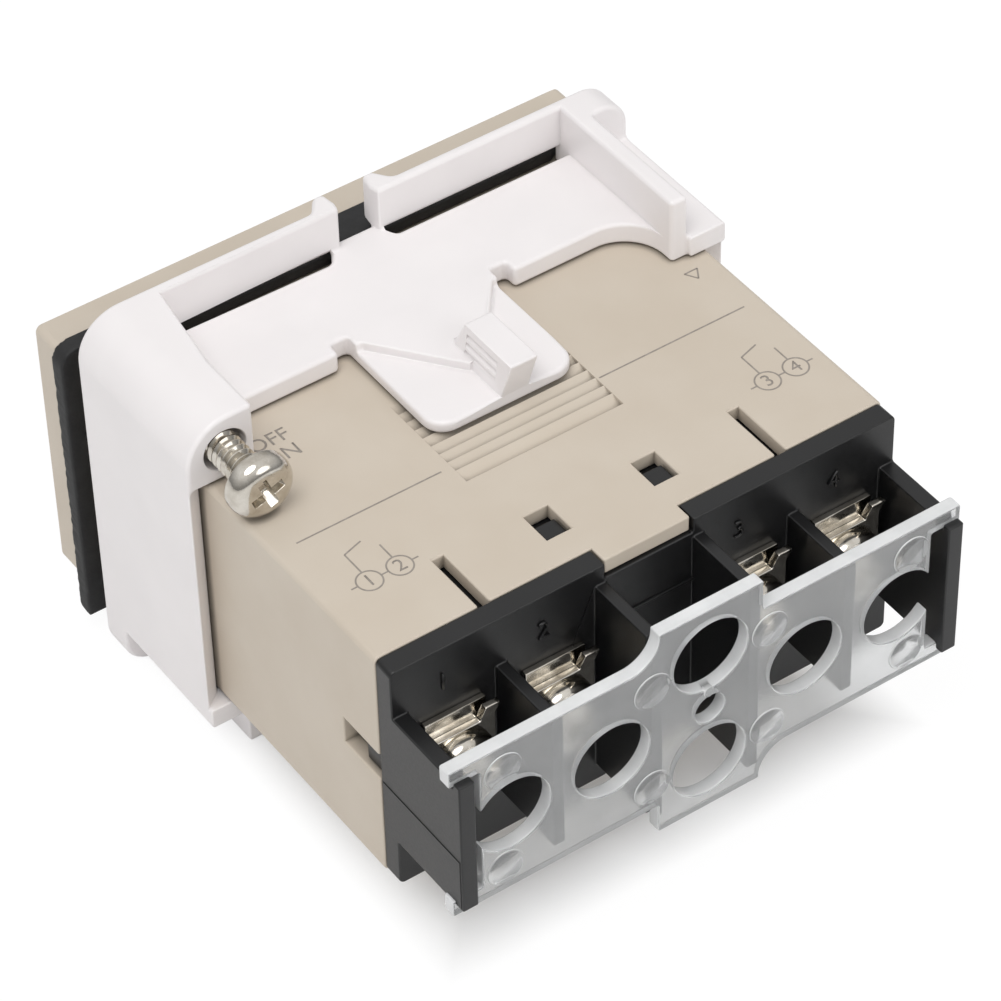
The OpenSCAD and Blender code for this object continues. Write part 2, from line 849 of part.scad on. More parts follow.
// Four square clamp washers with bent lugs
module clamp_washers() {
  lug_w = 1.3;
  lug_len = 1.9;
  color("#cfccc4")
  for (x = bays)
    translate([x, 0, 0])
      difference() {
        union() {
          box([-washer_side / 2, washer_y, -washer_side / 2], [washer_side / 2, head_y, washer_side / 2]);
          both_turns()
            box([-washer_side / 2, washer_y, washer_side / 2 - washer_t],
                [-washer_side / 2 + lug_w, head_y, washer_side / 2 + lug_len]);
        }
        rod(0, 0, washer_y - cut, head_y + cut, thread_hole_d);
      }
}

// Four terminal screws
module terminal_screws() {
  color("#dedbd4")
  for (x = bays)
    translate([x, head_y, 0])
      pan_screw(term_head_d, term_head_h, term_thread_len);
}

// Clear cover over the terminals
module terminal_cover() {
  peg_end = block_w / 2 + peg_proud;
  color("#cfd3d4")
  union() {
    along_y(cover_y, cover_y + cover_t)
      difference() {
        union() {
          square([2 * cover_x, 2 * cover_z], center = true);
          square([2 * cover_mid_x, 2 * cover_mid_z], center = true);
          for (turn = [0, 180])
            rotate(turn)
              translate([cover_mid_x, cover_z])
                difference() {
                  square(cover_fillet);
                  translate([cover_fillet, cover_fillet])
                    circle(cover_fillet);
                }
        }
        for (x = bays)
          translate([x, 0])
            circle(d = driver_hole_d);
        for (side = [-1, 1])
          translate([0, side * mid_hole_z])
            circle(d = driver_hole_d);
        circle(d = centre_hole_d);
      }
    for (side = [0, 1])
      mirror([side, 0, 0])
        both_turns_z()
          box([cover_x - cut, cover_y, peg_z], [peg_end, cover_y + cover_t, cover_z]);
  }
}

// Rubber ring behind the bezel, resting on the case's top
module gasket() {
  hole_top = body_top + fit_gap;
  hole_low = -body_top - gasket_sag;
  top = hole_top + gasket_top_bar;
  low = hole_low - gasket_top_bar;
  hole_x = gasket_x - gasket_bar;
  color("#232324")
  difference() {
    box([-gasket_x, 0, low], [gasket_x, gasket_t, top]);
    box([-hole_x, -cut, hole_low], [hole_x, gasket_t + cut, hole_top]);
  }
}

// Outline of the bracket's top plate seen from above, with its arms' slots and the tongue's root
module plate_outline() {
  long_lead = 1.5;
  long_mouth = 0.3;
  short_lead = 0.75;
  short_mouth = 0.5;
  difference() {
    union() {
      translate([-bracket_x, bracket_y])
        square([2 * bracket_x, plate_len]);
      translate([-bracket_x, bracket_y])
        square([bracket_x - rib_x, bracket_len]);
      translate([-bracket_x, bracket_y])
        square([bracket_x - rib_x - rib_t, bracket_len + ledge_len]);
      translate([-rib_x, plate_rear])
        difference() {
          square(rib_fillet);
          translate([rib_fillet, rib_fillet])
            circle(rib_fillet);
        }
    }
    polygon([[arm_root_block, bracket_y - cut], [arm_root_block, slot_rear],
             [arm_tip_long + long_lead, slot_rear], [arm_tip_long - long_mouth, bracket_y - cut]]);
    polygon([[arm_root_rib, bracket_y - cut], [arm_root_rib, slot_rear],
             [arm_tip_short - short_lead, slot_rear], [arm_tip_short + short_mouth, bracket_y - cut]]);
    for (side = [0, 1])
      mirror([side, 0])
        translate([tongue_x, root_y])
          square([root_notch_w, root_notch + cut]);
  }
}

// Screw block at the corner, its inner face running in towards the front
module screw_block() {
  intersection() {
    along_y(bracket_y, bracket_rear)
      difference() {
        translate([0, sleeve_z])
          square([bracket_x, bracket_top - sleeve_z]);
        translate([bracket_x - block_r, bracket_top - block_r])
          difference() {
            square(block_r + cut);
            circle(block_r);
          }
      }
    along_z(sleeve_z, bracket_top)
      polygon([[block_front_x, bracket_y], [bracket_x, bracket_y], [bracket_x, bracket_rear],
               [block_x, bracket_rear], [block_x, plate_rear - root_notch], [block_front_x, slot_rear]]);
  }
}

// Flange corner with the rib that stiffens it
module flange_and_rib() {
  along_y(bracket_y, bracket_y + flange_t)
    difference() {
      translate([-bracket_x, sleeve_z])
        square([bracket_x + arm_root_rib, bracket_top - sleeve_z]);
      translate([-bracket_x + flange_r, bracket_top - flange_r])
        difference() {
          translate([-flange_r - cut, 0])
            square(flange_r + cut);
          circle(flange_r);
        }
    }
  box([-rib_x - rib_t, bracket_y, sleeve_z], [-rib_x, bracket_rear, bracket_top]);
}

// A spring arm in plan from its root to its bumped tip; way is +1 or -1 towards the tip
module arm_outline(root, tip, way) {
  bump_y = bracket_y - arm_bump;
  bump_foot = tip - way * 1.9;
  bump_edge = tip - way * 0.9;
  bump_nose = tip + way * 0.2;
  polygon([[root, bracket_y], [bump_foot, bracket_y], [bump_edge, bump_y],
           [tip, bump_y], [bump_nose, bracket_y], [tip, slot_front], [root, slot_front]]);
}

// Latch tongue with its gusset and thumb tab
module latch_tongue() {
  thumb_y = tongue_tip - thumb_len;
  thumb_top = tongue_top + thumb_h;
  thumb_foot = sleeve_z + tongue_t / 2;
  thumb_toe = 1;
  toe_drop = 0.1;
  gusset_y = root_y + root_notch / 2;
  gusset_step = 0.6;
  gusset_side = 0.7;
  gusset_share = 0.3;
  gusset_end = thumb_y + thumb_len * gusset_share;
  thumb_back = thumb_x - thumb_w;
  groove_first = 0.3;
  groove_pitch = 0.22;
  groove_len = thumb_len - 1.5 * thumb_toe;
  along_z(sleeve_z, tongue_top) {
    translate([-tongue_x, root_y - cut])
      square([2 * tongue_x, tongue_len - tongue_r + cut]);
    translate([-tongue_x + tongue_r, root_y])
      square([2 * tongue_x - 2 * tongue_r, tongue_len]);
    for (side = [-1, 1])
      translate([side * (tongue_x - tongue_r), tongue_tip - tongue_r])
        circle(tongue_r);
  }
  along_z(sleeve_z, bracket_z)
    polygon([[tongue_x, root_y - cut], [tongue_x, gusset_y],
             [thumb_x + gusset_side, gusset_end], [thumb_back, gusset_end],
             [thumb_back, thumb_y - gusset_step], [-tongue_x, gusset_y], [-tongue_x, root_y - cut]]);
  difference() {
    intersection() {
      along_x(thumb_back, thumb_x + thumb_tilt)
        polygon([[thumb_y - thumb_toe, bracket_z - toe_drop], [thumb_y, thumb_top],
                 [tongue_tip + thumb_lean, thumb_top], [tongue_tip, tongue_top],
                 [tongue_tip, thumb_foot], [thumb_y - thumb_toe, thumb_foot]]);
      along_y(thumb_y - 2 * thumb_toe, tongue_tip + 2 * thumb_lean)
        polygon([[thumb_back + thumb_tilt, thumb_foot], [thumb_x + thumb_tilt, thumb_foot],
                 [thumb_x, thumb_top], [thumb_back, thumb_top]]);
    }
    for (i = [0 : 2]) {
      rise = groove_first + groove_pitch * i;
      translate([thumb_x + thumb_tilt * (1 - rise), thumb_y + thumb_toe / 2, tongue_top + thumb_h * rise])
        rotate([0, 45, 0])
          translate([-grip_depth, 0, -grip_depth])
            cube([2 * grip_depth, groove_len, 2 * grip_depth]);
    }
  }
}

// Hollow curve where the plate runs up into the screw block
module block_cove() {
  along_y(slot_rear, plate_rear)
    difference() {
      translate([block_x - cove_r, sleeve_z + bracket_plate / 2])
        square([cove_r + bracket_wall / 2, cove_r + bracket_plate / 2]);
      translate([block_x - cove_r, bracket_z + cove_r])
        circle(cove_r);
    }
}

// The bracket's half that carries the upper screw
module bracket_half() {
  wall_step = 1.05;
  along_z(sleeve_z, bracket_z)
    plate_outline();
  screw_block();
  block_cove();
  flange_and_rib();
  along_z(bracket_z, bracket_top) {
    arm_outline(block_front_x + cut / 2, arm_tip_long, -1);
    arm_outline(arm_root_rib - cut, arm_tip_short, 1);
  }
  latch_tongue();
  along_z(-sleeve_z - bracket_plate / 2, sleeve_z + bracket_plate / 2)
    polygon([[sleeve_x, bracket_y], [bracket_x, bracket_y], [bracket_x, bracket_rear],
             [sleeve_x, bracket_rear - wall_step]]);
}

// Moulded clamp bracket that slides on the case
module mounting_bracket() {
  color("#eeeceb")
  difference() {
    both_turns()
      bracket_half();
    both_turns() {
      rod(screw_x, screw_z, bracket_y - cut, bracket_rear + cut, thread_d + 2 * fit_gap);
      rod(screw_x, screw_z, bracket_rear - screw_mouth_len, bracket_rear + cut, screw_mouth_d);
    }
  }
}

// A clamp screw in the upper block
module clamp_screw() {
  translate([screw_x, bracket_rear + screw_stand_off, screw_z])
    pan_screw(screw_head_d, screw_head_h, screw_len);
}

// Clamp screw at the top
module upper_clamp_screw() {
  color("#d8d5cd")
  clamp_screw();
}

// Clamp screw at the bottom
module lower_clamp_screw() {
  color("#d8d5cd")
  rotate([0, 180, 0])
    clamp_screw();
}

case();
front_lens();
reset_button();
switch_plunger();
display_holder();
lcd_panel();
contact_strips();
front_board();
counter_chip();
crystal();
chip_components();
reset_switch();
main_board();
board_header();
battery();
battery_tabs();
key_switch_body();
key_switch_knob();
speed_switch_body();
speed_switch_knob();
terminal_block();
terminal_plates();
clamp_washers();
terminal_screws();
terminal_cover();
gasket();
mounting_bracket();
upper_clamp_screw();
lower_clamp_screw();
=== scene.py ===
import json
import math

import bmesh
import bpy
from mathutils import Matrix, Vector, noise


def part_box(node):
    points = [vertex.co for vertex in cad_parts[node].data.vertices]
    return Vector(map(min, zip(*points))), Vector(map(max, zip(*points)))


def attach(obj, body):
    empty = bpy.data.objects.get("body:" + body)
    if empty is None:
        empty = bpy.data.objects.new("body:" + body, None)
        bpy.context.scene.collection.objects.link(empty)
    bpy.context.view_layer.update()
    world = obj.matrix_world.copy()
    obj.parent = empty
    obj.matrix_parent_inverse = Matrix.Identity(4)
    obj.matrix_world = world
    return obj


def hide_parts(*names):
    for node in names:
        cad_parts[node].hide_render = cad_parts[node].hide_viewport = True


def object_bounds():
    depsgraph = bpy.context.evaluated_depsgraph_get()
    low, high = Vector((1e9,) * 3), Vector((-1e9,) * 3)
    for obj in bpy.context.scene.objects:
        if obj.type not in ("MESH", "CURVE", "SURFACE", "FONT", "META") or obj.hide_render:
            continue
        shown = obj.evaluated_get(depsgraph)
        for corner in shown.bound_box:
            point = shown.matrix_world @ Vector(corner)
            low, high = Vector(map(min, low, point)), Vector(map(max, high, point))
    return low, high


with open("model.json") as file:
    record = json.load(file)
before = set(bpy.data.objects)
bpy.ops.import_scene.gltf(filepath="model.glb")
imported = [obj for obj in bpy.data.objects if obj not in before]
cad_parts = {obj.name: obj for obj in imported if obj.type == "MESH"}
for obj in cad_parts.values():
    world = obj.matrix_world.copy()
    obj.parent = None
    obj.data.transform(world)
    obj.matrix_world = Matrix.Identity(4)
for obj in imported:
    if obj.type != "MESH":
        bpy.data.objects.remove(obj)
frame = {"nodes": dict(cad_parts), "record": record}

# The solids' own box, kept for the size rule
cad_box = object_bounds()

# One millimetre in scene units
MM = 0.001


# Small tools


def linear(hex_colour):
    """Turn an sRGB hex colour such as #CDC1B1 into a linear RGBA colour."""
    channels = [int(hex_colour[i : i + 2], 16) / 255 for i in (1, 3, 5)]
    return [c / 12.92 if c <= 0.04045 else ((c + 0.055) / 1.055) ** 2.4 for c in channels] + [1.0]


def per_mm(size):
    """Texture scale, in cells per metre, for a pattern with cells of this size in millimetres."""
    return 1 / (size * MM)


def node(tree, kind, links=None, **settings):
    """Add a shader node with its settings, socket values and links, and return it."""
    made = tree.nodes.new(kind)
    for name, value in settings.items():
        setattr(made, name, value)
    for socket, value in (links or {}).items():
        if isinstance(value, bpy.types.NodeSocket):
            tree.links.new(value, made.inputs[socket])
        else:
            made.inputs[socket].default_value = value
    return made


def only(obj):
    """Select this object alone and make it active."""
    bpy.ops.object.select_all(action="DESELECT")
    obj.select_set(True)
    bpy.context.view_layer.objects.active = obj


def pick(obj, kind, test):
    """In edit mode, select only the VERT, EDGE or FACE elements that pass the test."""
    bpy.ops.mesh.select_mode(type=kind)
    bpy.ops.mesh.select_all(action="DESELECT")
    mesh = bmesh.from_edit_mesh(obj.data)
    elements = {"VERT": mesh.verts, "EDGE": mesh.edges, "FACE": mesh.faces}[kind]
    for element in elements:
        element.select_set(bool(test(element)))
    mesh.select_flush_mode()
    bmesh.update_edit_mesh(obj.data)


def apply(obj, kind, **settings):
    """Add a modifier with these settings and apply it."""
    only(obj)
    made = obj.modifiers.new(kind.title(), kind)
    for name, value in settings.items():
        setattr(made, name, value)
    bpy.ops.object.modifier_apply(modifier=made.name)


def cut_away(obj, tool, operation="DIFFERENCE"):
    """Cut a tool from a piece, or weld it on, and delete the tool."""
    apply(obj, "BOOLEAN", object=tool, operation=operation, solver="EXACT")
    bpy.data.objects.remove(tool)


def room(edge):
    """Length of the shortest edge that leaves either end of an edge sideways."""
    along = (edge.verts[1].co - edge.verts[0].co).normalized()
    nearly_along = 0.9
    sideways = []
    for vert in edge.verts:
        for other in vert.link_edges:
            run = other.other_vert(vert).co - vert.co
            if abs(run.normalized().dot(along)) < nearly_along:
                sideways.append(run.length)
    return min(sideways, default=MM)


def soft_edges(obj, width, segments=3, share_at=None, hollow=1.0):
    """Round every sharp edge by a small real radius, in millimetres, or by less where it has no room.

    Where a piece needs crisper edges, share_at gives the share of the radius for a point in millimetres,
    and hollow is the share for inside corners.
    """
    sharp = math.radians(32)
    room_used = 0.42
    mesh = bmesh.new()
    mesh.from_mesh(obj.data)
    weight = mesh.edges.layers.float.new("bevel_weight_edge")
    for edge in mesh.edges:
        if edge.is_manifold and edge.calc_face_angle() > sharp:
            middle = (edge.verts[0].co + edge.verts[1].co) / 2 / MM
            share = share_at(middle) if share_at else 1.0
            share *= 1.0 if edge.is_convex else hollow
            edge[weight] = min(share, room_used * room(edge) / (width * MM))
    mesh.to_mesh(obj.data)
    mesh.free()
    apply(obj, "BEVEL", width=width * MM, segments=segments, limit_method="WEIGHT",
          use_clamp_overlap=False, miter_outer="MITER_ARC")
    smooth(obj)


def smooth(obj):
    """Smooth shading that leaves sharp edges sharp and flat faces flat."""
    only(obj)
    bpy.ops.object.shade_smooth_by_angle(angle=math.radians(40))
    apply(obj, "WEIGHTED_NORMAL", mode="FACE_AREA", weight=100, keep_sharp=True)


def cad_copy(name, cad_node, x_cuts=(), z_cuts=()):
    """Copy a CAD node's mesh for a new piece, with its loose triangles merged into flat faces.

    The cuts, in millimetres, pass through the holes, so that no flat face runs all round a hole.
    """
    obj = bpy.data.objects.new(name, frame["nodes"][cad_node].data.copy())
    bpy.context.scene.collection.objects.link(obj)
    obj.data.materials.clear()
    only(obj)
    bpy.ops.mesh.customdata_custom_splitnormals_clear()
    bpy.ops.object.mode_set(mode="EDIT")
    bpy.ops.mesh.select_all(action="SELECT")
    bpy.ops.mesh.remove_doubles(threshold=0.002 * MM)
    bpy.ops.mesh.dissolve_limited(angle_limit=math.radians(0.5))
    for x in x_cuts:
        bpy.ops.mesh.select_all(action="SELECT")
        bpy.ops.mesh.bisect(plane_co=(x * MM, 0, 0), plane_no=(1, 0, 0))
    for z in z_cuts:
        bpy.ops.mesh.select_all(action="SELECT")
        bpy.ops.mesh.bisect(plane_co=(0, 0, z * MM), plane_no=(0, 0, 1))
    bpy.ops.object.mode_set(mode="OBJECT")
    return obj


def slab(name, low, high):
    """A box between two corners, in millimetres, to be cut, bevelled or joined further."""
    bpy.ops.object.select_all(action="DESELECT")
    middle = [(a + b) / 2 * MM for a, b in zip(low, high)]
    size = [(b - a) * MM for a, b in zip(low, high)]
    bpy.ops.mesh.primitive_cube_add(size=1, location=middle, scale=size)
    obj = bpy.context.object
    obj.name = name
    bpy.ops.object.transform_apply(location=True, rotation=True, scale=True)
    return obj


def outline(name, points):
    """Draw an open line through (x, y) points in millimetres, extruding one vertex along it."""
    bpy.ops.object.select_all(action="DESELECT")
    bpy.ops.mesh.primitive_plane_add(size=MM)
    obj = bpy.context.object
    obj.name = name
    steps = [Vector((*points[0], 0))]
    steps += [Vector((*b, 0)) - Vector((*a, 0)) for a, b in zip(points, points[1:])]
    bpy.ops.object.mode_set(mode="EDIT")
    bpy.ops.mesh.select_mode(type="VERT")
    bpy.ops.mesh.select_all(action="SELECT")
    bpy.ops.mesh.merge(type="CENTER")
    bpy.ops.transform.translate(value=steps[0] * MM)
    for step in steps[1:]:
        bpy.ops.mesh.extrude_vertices_move(TRANSFORM_OT_translate={"value": step * MM})
    bpy.ops.object.mode_set(mode="OBJECT")
    return obj


def lathe(name, points, steps=48):
    """Spin a line of (radius, y) points in millimetres about the Y axis into a closed body."""
    obj = outline(name, points)
    bpy.ops.object.mode_set(mode="EDIT")
    bpy.ops.mesh.select_all(action="SELECT")
    bpy.ops.mesh.spin(steps=steps, angle=math.tau, center=(0, 0, 0), axis=(0, 1, 0))
    bpy.ops.mesh.select_all(action="SELECT")
    bpy.ops.mesh.remove_doubles(threshold=0.001 * MM)
    bpy.ops.mesh.normals_make_consistent(inside=False)
    bpy.ops.object.mode_set(mode="OBJECT")
    return obj


def twin(obj, name):
    """A copy of a piece with its own mesh."""
    made = obj.copy()
    made.data = obj.data.copy()
    made.name = name
    bpy.context.scene.collection.objects.link(made)
    return made


def join(name, pieces):
    """Join several objects into one piece."""
    bpy.ops.object.select_all(action="DESELECT")
    for piece in pieces:
        piece.select_set(True)
    bpy.context.view_layer.objects.active = pieces[0]
    bpy.ops.object.join()
    pieces[0].name = name
    return pieces[0]


def place(obj, x=0, y=0, z=0, turn_x=0, turn_y=0):
    """Turn a piece about the X or Y axis by degrees, move it by millimetres, and put that into its mesh."""
    obj.rotation_euler = (math.radians(turn_x), math.radians(turn_y), 0)
    obj.location = (x * MM, y * MM, z * MM)
    only(obj)
    bpy.ops.object.transform_apply(location=True, rotation=True, scale=True)
    return obj


def finish(obj, material, body, slot, *replaced):
    """Give a piece its material, hang it on its body's empty and hide the CAD nodes it replaces."""
    obj.data.materials.clear()
    obj.data.materials.append(material)
    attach(obj, body)
    if replaced:
        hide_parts(*replaced)


# Materials


def new_material(name):
    """A material with its tree, its principled shader and its Object coordinates."""
    made = bpy.data.materials.new(name)
    made.use_nodes = True
    tree = made.node_tree
    coordinates = node(tree, "ShaderNodeTexCoord").outputs["Object"]
    return made, tree, tree.nodes["Principled BSDF"], coordinates


def moulded_plastic(name, dark, light, roughness, grain=0.22, relief=0.35, patch=7.0, painted_corner_shade=0.0):
    """Moulded plastic: faint cloudy shades from the flow, and the fine grain of a spark-eroded tool.

    The real grain is near 0.05 mm; it is drawn coarser so that it shows in the render. The corner
    shade setting is how much painted shade, from ambient occlusion, darkens and dulls the corners and
    grooves.
    """
    made, tree, shader, coordinates = new_material(name)
    flow = node(tree, "ShaderNodeTexNoise",
                {"Vector": coordinates, "Scale": per_mm(patch), "Detail": 3.0, "Roughness": 0.5})
    shades = node(tree, "ShaderNodeValToRGB", {"Fac": flow.outputs["Fac"]})
    shades.color_ramp.elements[0].position = 0.3
    shades.color_ramp.elements[0].color = linear(dark)
    shades.color_ramp.elements[1].position = 0.7
    shades.color_ramp.elements[1].color = linear(light)
    colour = shades.outputs["Color"]
    if painted_corner_shade:
        # Painted shade: ambient occlusion darkens the colour and lowers the specular in corners and grooves
        corners = node(tree, "ShaderNodeAmbientOcclusion", {"Distance": 0.7 * MM})
        shelter = node(tree, "ShaderNodeMapRange",
                       {"Value": corners.outputs["AO"], "From Min": 0.35, "From Max": 0.85,
                        "To Min": 1 - painted_corner_shade, "To Max": 1.0})
        tint = node(tree, "ShaderNodeVectorMath",
                    {0: colour, "Scale": shelter.outputs["Result"]}, operation="SCALE")
        colour = tint.outputs["Vector"]
        shine = node(tree, "ShaderNodeMath", {0: shelter.outputs["Result"], 1: 0.5}, operation="MULTIPLY")
        tree.links.new(shine.outputs[0], shader.inputs["Specular IOR Level"])
    tree.links.new(colour, shader.inputs["Base Color"])
    pits = node(tree, "ShaderNodeTexNoise",
                {"Vector": coordinates, "Scale": per_mm(grain), "Detail": 2.0, "Roughness": 0.6})
    gloss = node(tree, "ShaderNodeMapRange",
                 {"Value": pits.outputs["Fac"], "To Min": roughness - 0.06, "To Max": roughness + 0.06})
    tree.links.new(gloss.outputs["Result"], shader.inputs["Roughness"])
    bump = node(tree, "ShaderNodeBump",
                {"Height": pits.outputs["Fac"], "Strength": relief, "Distance": 0.012 * MM})
    tree.links.new(bump.outputs["Normal"], shader.inputs["Normal"])
    shader.inputs["IOR"].default_value = 1.5
    return made


def clear_cover_plastic():
    """Clear polycarbonate from a matt tool: milky and specked, with a painted glow that makes its edges and
    hole walls whiter in place of the light that leaves through them.
    """
    made, tree, shader, coordinates = new_material("clear_polycarbonate_matt")
    haze = node(tree, "ShaderNodeTexNoise",
                {"Vector": coordinates, "Scale": per_mm(3.0), "Detail": 4.0, "Roughness": 0.6})
    shades = node(tree, "ShaderNodeValToRGB", {"Fac": haze.outputs["Fac"]})
    shades.color_ramp.elements[0].position = 0.25
    shades.color_ramp.elements[0].color = linear("#E4E5E6")
    shades.color_ramp.elements[1].position = 0.75
    shades.color_ramp.elements[1].color = linear("#F6F7F7")
    tree.links.new(shades.outputs["Color"], shader.inputs["Base Color"])
    specks = node(tree, "ShaderNodeTexNoise",
                  {"Vector": coordinates, "Scale": per_mm(0.22), "Detail": 2.0, "Roughness": 0.6})
    gloss = node(tree, "ShaderNodeMapRange",
                 {"Value": specks.outputs["Fac"], "To Min": 0.11, "To Max": 0.24})
    tree.links.new(gloss.outputs["Result"], shader.inputs["Roughness"])
    bump = node(tree, "ShaderNodeBump",
                {"Height": specks.outputs["Fac"], "Strength": 0.03, "Distance": 0.01 * MM})
    tree.links.new(bump.outputs["Normal"], shader.inputs["Normal"])
    # Painted glow: faces not turned to the front or back get less transmission, so edges and hole walls show
    # whiter
    facing = node(tree, "ShaderNodeSeparateXYZ",
                  {"Vector": node(tree, "ShaderNodeTexCoord").outputs["Normal"]})
    flatness = node(tree, "ShaderNodeMath", {0: facing.outputs["Y"]}, operation="ABSOLUTE")
    clarity = node(tree, "ShaderNodeMapRange",
                   {"Value": flatness.outputs[0], "From Min": 0.4, "From Max": 0.9,
                    "To Min": 0.2, "To Max": 0.82})
    tree.links.new(clarity.outputs["Result"], shader.inputs["Transmission Weight"])
    shader.inputs["IOR"].default_value = 1.58
    return made


def clear_lens_plastic():
    """Clear acrylic window: polished, with faint moulding waves."""
    made, tree, shader, coordinates = new_material("clear_acrylic_polished")
    waves = node(tree, "ShaderNodeTexNoise",
                 {"Vector": coordinates, "Scale": per_mm(6.0), "Detail": 1.0})
    gloss = node(tree, "ShaderNodeMapRange",
                 {"Value": waves.outputs["Fac"], "To Min": 0.02, "To Max": 0.06})
    tree.links.new(gloss.outputs["Result"], shader.inputs["Roughness"])
    bump = node(tree, "ShaderNodeBump",
                {"Height": waves.outputs["Fac"], "Strength": 0.1, "Distance": 0.02 * MM})
    tree.links.new(bump.outputs["Normal"], shader.inputs["Normal"])
    shader.inputs["Base Color"].default_value = linear("#F4F8F7")
    shader.inputs["IOR"].default_value = 1.49
    shader.inputs["Transmission Weight"].default_value = 1.0
    return made


def nickel_plated_steel():
    """Nickel plate on pressed and rolled steel: bright and slightly warm, with fine tool marks."""
    made, tree, shader, coordinates = new_material("nickel_plated_steel")
    stains = node(tree, "ShaderNodeTexNoise",
                  {"Vector": coordinates, "Scale": per_mm(1.6), "Detail": 4.0, "Roughness": 0.6})
    shades = node(tree, "ShaderNodeValToRGB", {"Fac": stains.outputs["Fac"]})
    shades.color_ramp.elements[0].position = 0.3
    shades.color_ramp.elements[0].color = linear("#B9B2A6")
    shades.color_ramp.elements[1].position = 0.65
    shades.color_ramp.elements[1].color = linear("#DDD8CF")
    tree.links.new(shades.outputs["Color"], shader.inputs["Base Color"])
    marks = node(tree, "ShaderNodeTexNoise",
                 {"Vector": coordinates, "Scale": per_mm(0.3), "Detail": 3.0, "Roughness": 0.6})
    gloss = node(tree, "ShaderNodeMapRange",
                 {"Value": marks.outputs["Fac"], "To Min": 0.06, "To Max": 0.2})
    tree.links.new(gloss.outputs["Result"], shader.inputs["Roughness"])
    bump = node(tree, "ShaderNodeBump",
                {"Height": marks.outputs["Fac"], "Strength": 0.25, "Distance": 0.015 * MM})
    tree.links.new(bump.outputs["Normal"], shader.inputs["Normal"])
    shader.inputs["Metallic"].default_value = 1.0
    return made


def gasket_rubber():
    """Black rubber cut from a moulded strip: dull, dusty in patches, with a pitted skin."""
    made, tree, shader, coordinates = new_material("nitrile_rubber_black")
    dust = node(tree, "ShaderNodeTexNoise",
                {"Vector": coordinates, "Scale": per_mm(2.0), "Detail": 5.0, "Roughness": 0.7})
    shades = node(tree, "ShaderNodeValToRGB", {"Fac": dust.outputs["Fac"]})
    shades.color_ramp.elements[0].position = 0.35
    shades.color_ramp.elements[0].color = linear("#161617")
    shades.color_ramp.elements[1].position = 0.75
    shades.color_ramp.elements[1].color = linear("#262627")
    tree.links.new(shades.outputs["Color"], shader.inputs["Base Color"])
    pits = node(tree, "ShaderNodeTexVoronoi", {"Vector": coordinates, "Scale": per_mm(0.35)})
    bump = node(tree, "ShaderNodeBump",
                {"Height": pits.outputs["Distance"], "Strength": 0.35, "Distance": 0.03 * MM})
    tree.links.new(bump.outputs["Normal"], shader.inputs["Normal"])
    shader.inputs["Roughness"].default_value = 0.62
    return made


def pad_print(name, dark, light):
    """Pad printing ink: thin and matt, a little uneven where the plastic shows through."""
    made, tree, shader, coordinates = new_material(name)
    cover = node(tree, "ShaderNodeTexNoise",
                 {"Vector": coordinates, "Scale": per_mm(0.5), "Detail": 3.0, "Roughness": 0.6})
    shades = node(tree, "ShaderNodeValToRGB", {"Fac": cover.outputs["Fac"]})
    shades.color_ramp.elements[0].position = 0.3
    shades.color_ramp.elements[0].color = linear(dark)
    shades.color_ramp.elements[1].position = 0.75
    shades.color_ramp.elements[1].color = linear(light)
    tree.links.new(shades.outputs["Color"], shader.inputs["Base Color"])
    shader.inputs["Roughness"].default_value = 0.6
    return made


def display_glass():
    """Reflective liquid crystal glass: grey-green, with the fine brushed look of its rear film."""
    made, tree, shader, coordinates = new_material("liquid_crystal_glass")
    stretch = node(tree, "ShaderNodeMapping", {"Vector": coordinates, "Scale": (0.06, 1.0, 1.0)})
    brush = node(tree, "ShaderNodeTexNoise",
                 {"Vector": stretch.outputs["Vector"], "Scale": per_mm(0.2), "Detail": 2.0})
    shades = node(tree, "ShaderNodeValToRGB", {"Fac": brush.outputs["Fac"]})
    shades.color_ramp.elements[0].position = 0.3
    shades.color_ramp.elements[0].color = linear("#9DA693")
    shades.color_ramp.elements[1].position = 0.7
    shades.color_ramp.elements[1].color = linear("#AFB7A4")
    tree.links.new(shades.outputs["Color"], shader.inputs["Base Color"])
    shader.inputs["Roughness"].default_value = 0.25
    shader.inputs["IOR"].default_value = 1.52
    return made


def board_laminate():
    """Glass-cloth laminate under green solder mask: the weave shows faintly through the lacquer."""
    made, tree, shader, coordinates = new_material("glass_epoxy_green_mask")
    weave = node(tree, "ShaderNodeTexBrick",
                 {"Vector": coordinates, "Scale": per_mm(1.6), "Mortar Size": 0.04,
                  "Color1": linear("#1F6B43"), "Color2": linear("#256F49"), "Mortar": linear("#185536")})
    tree.links.new(weave.outputs["Color"], shader.inputs["Base Color"])
    bump = node(tree, "ShaderNodeBump",
                {"Height": weave.outputs["Fac"], "Strength": 0.3, "Distance": 0.02 * MM})
    tree.links.new(bump.outputs["Normal"], shader.inputs["Normal"])
    shader.inputs["Roughness"].default_value = 0.3
    return made


def cell_jacket():
    """Shrink sleeve on a steel can: blue film, smooth, with shallow ripples from the heat."""
    made, tree, shader, coordinates = new_material("shrink_sleeve_blue")
    ripple = node(tree, "ShaderNodeTexWave",
                  {"Vector": coordinates, "Scale": per_mm(40.0), "Distortion": 3.0, "Detail": 2.0})
    shades = node(tree, "ShaderNodeValToRGB", {"Fac": ripple.outputs["Fac"]})
    shades.color_ramp.elements[0].color = linear("#2F5583")
    shades.color_ramp.elements[1].color = linear("#3D6699")
    tree.links.new(shades.outputs["Color"], shader.inputs["Base Color"])
    bump = node(tree, "ShaderNodeBump",
                {"Height": ripple.outputs["Fac"], "Strength": 0.2, "Distance": 0.05 * MM})
    tree.links.new(bump.outputs["Normal"], shader.inputs["Normal"])
    shader.inputs["Roughness"].default_value = 0.28
    return made
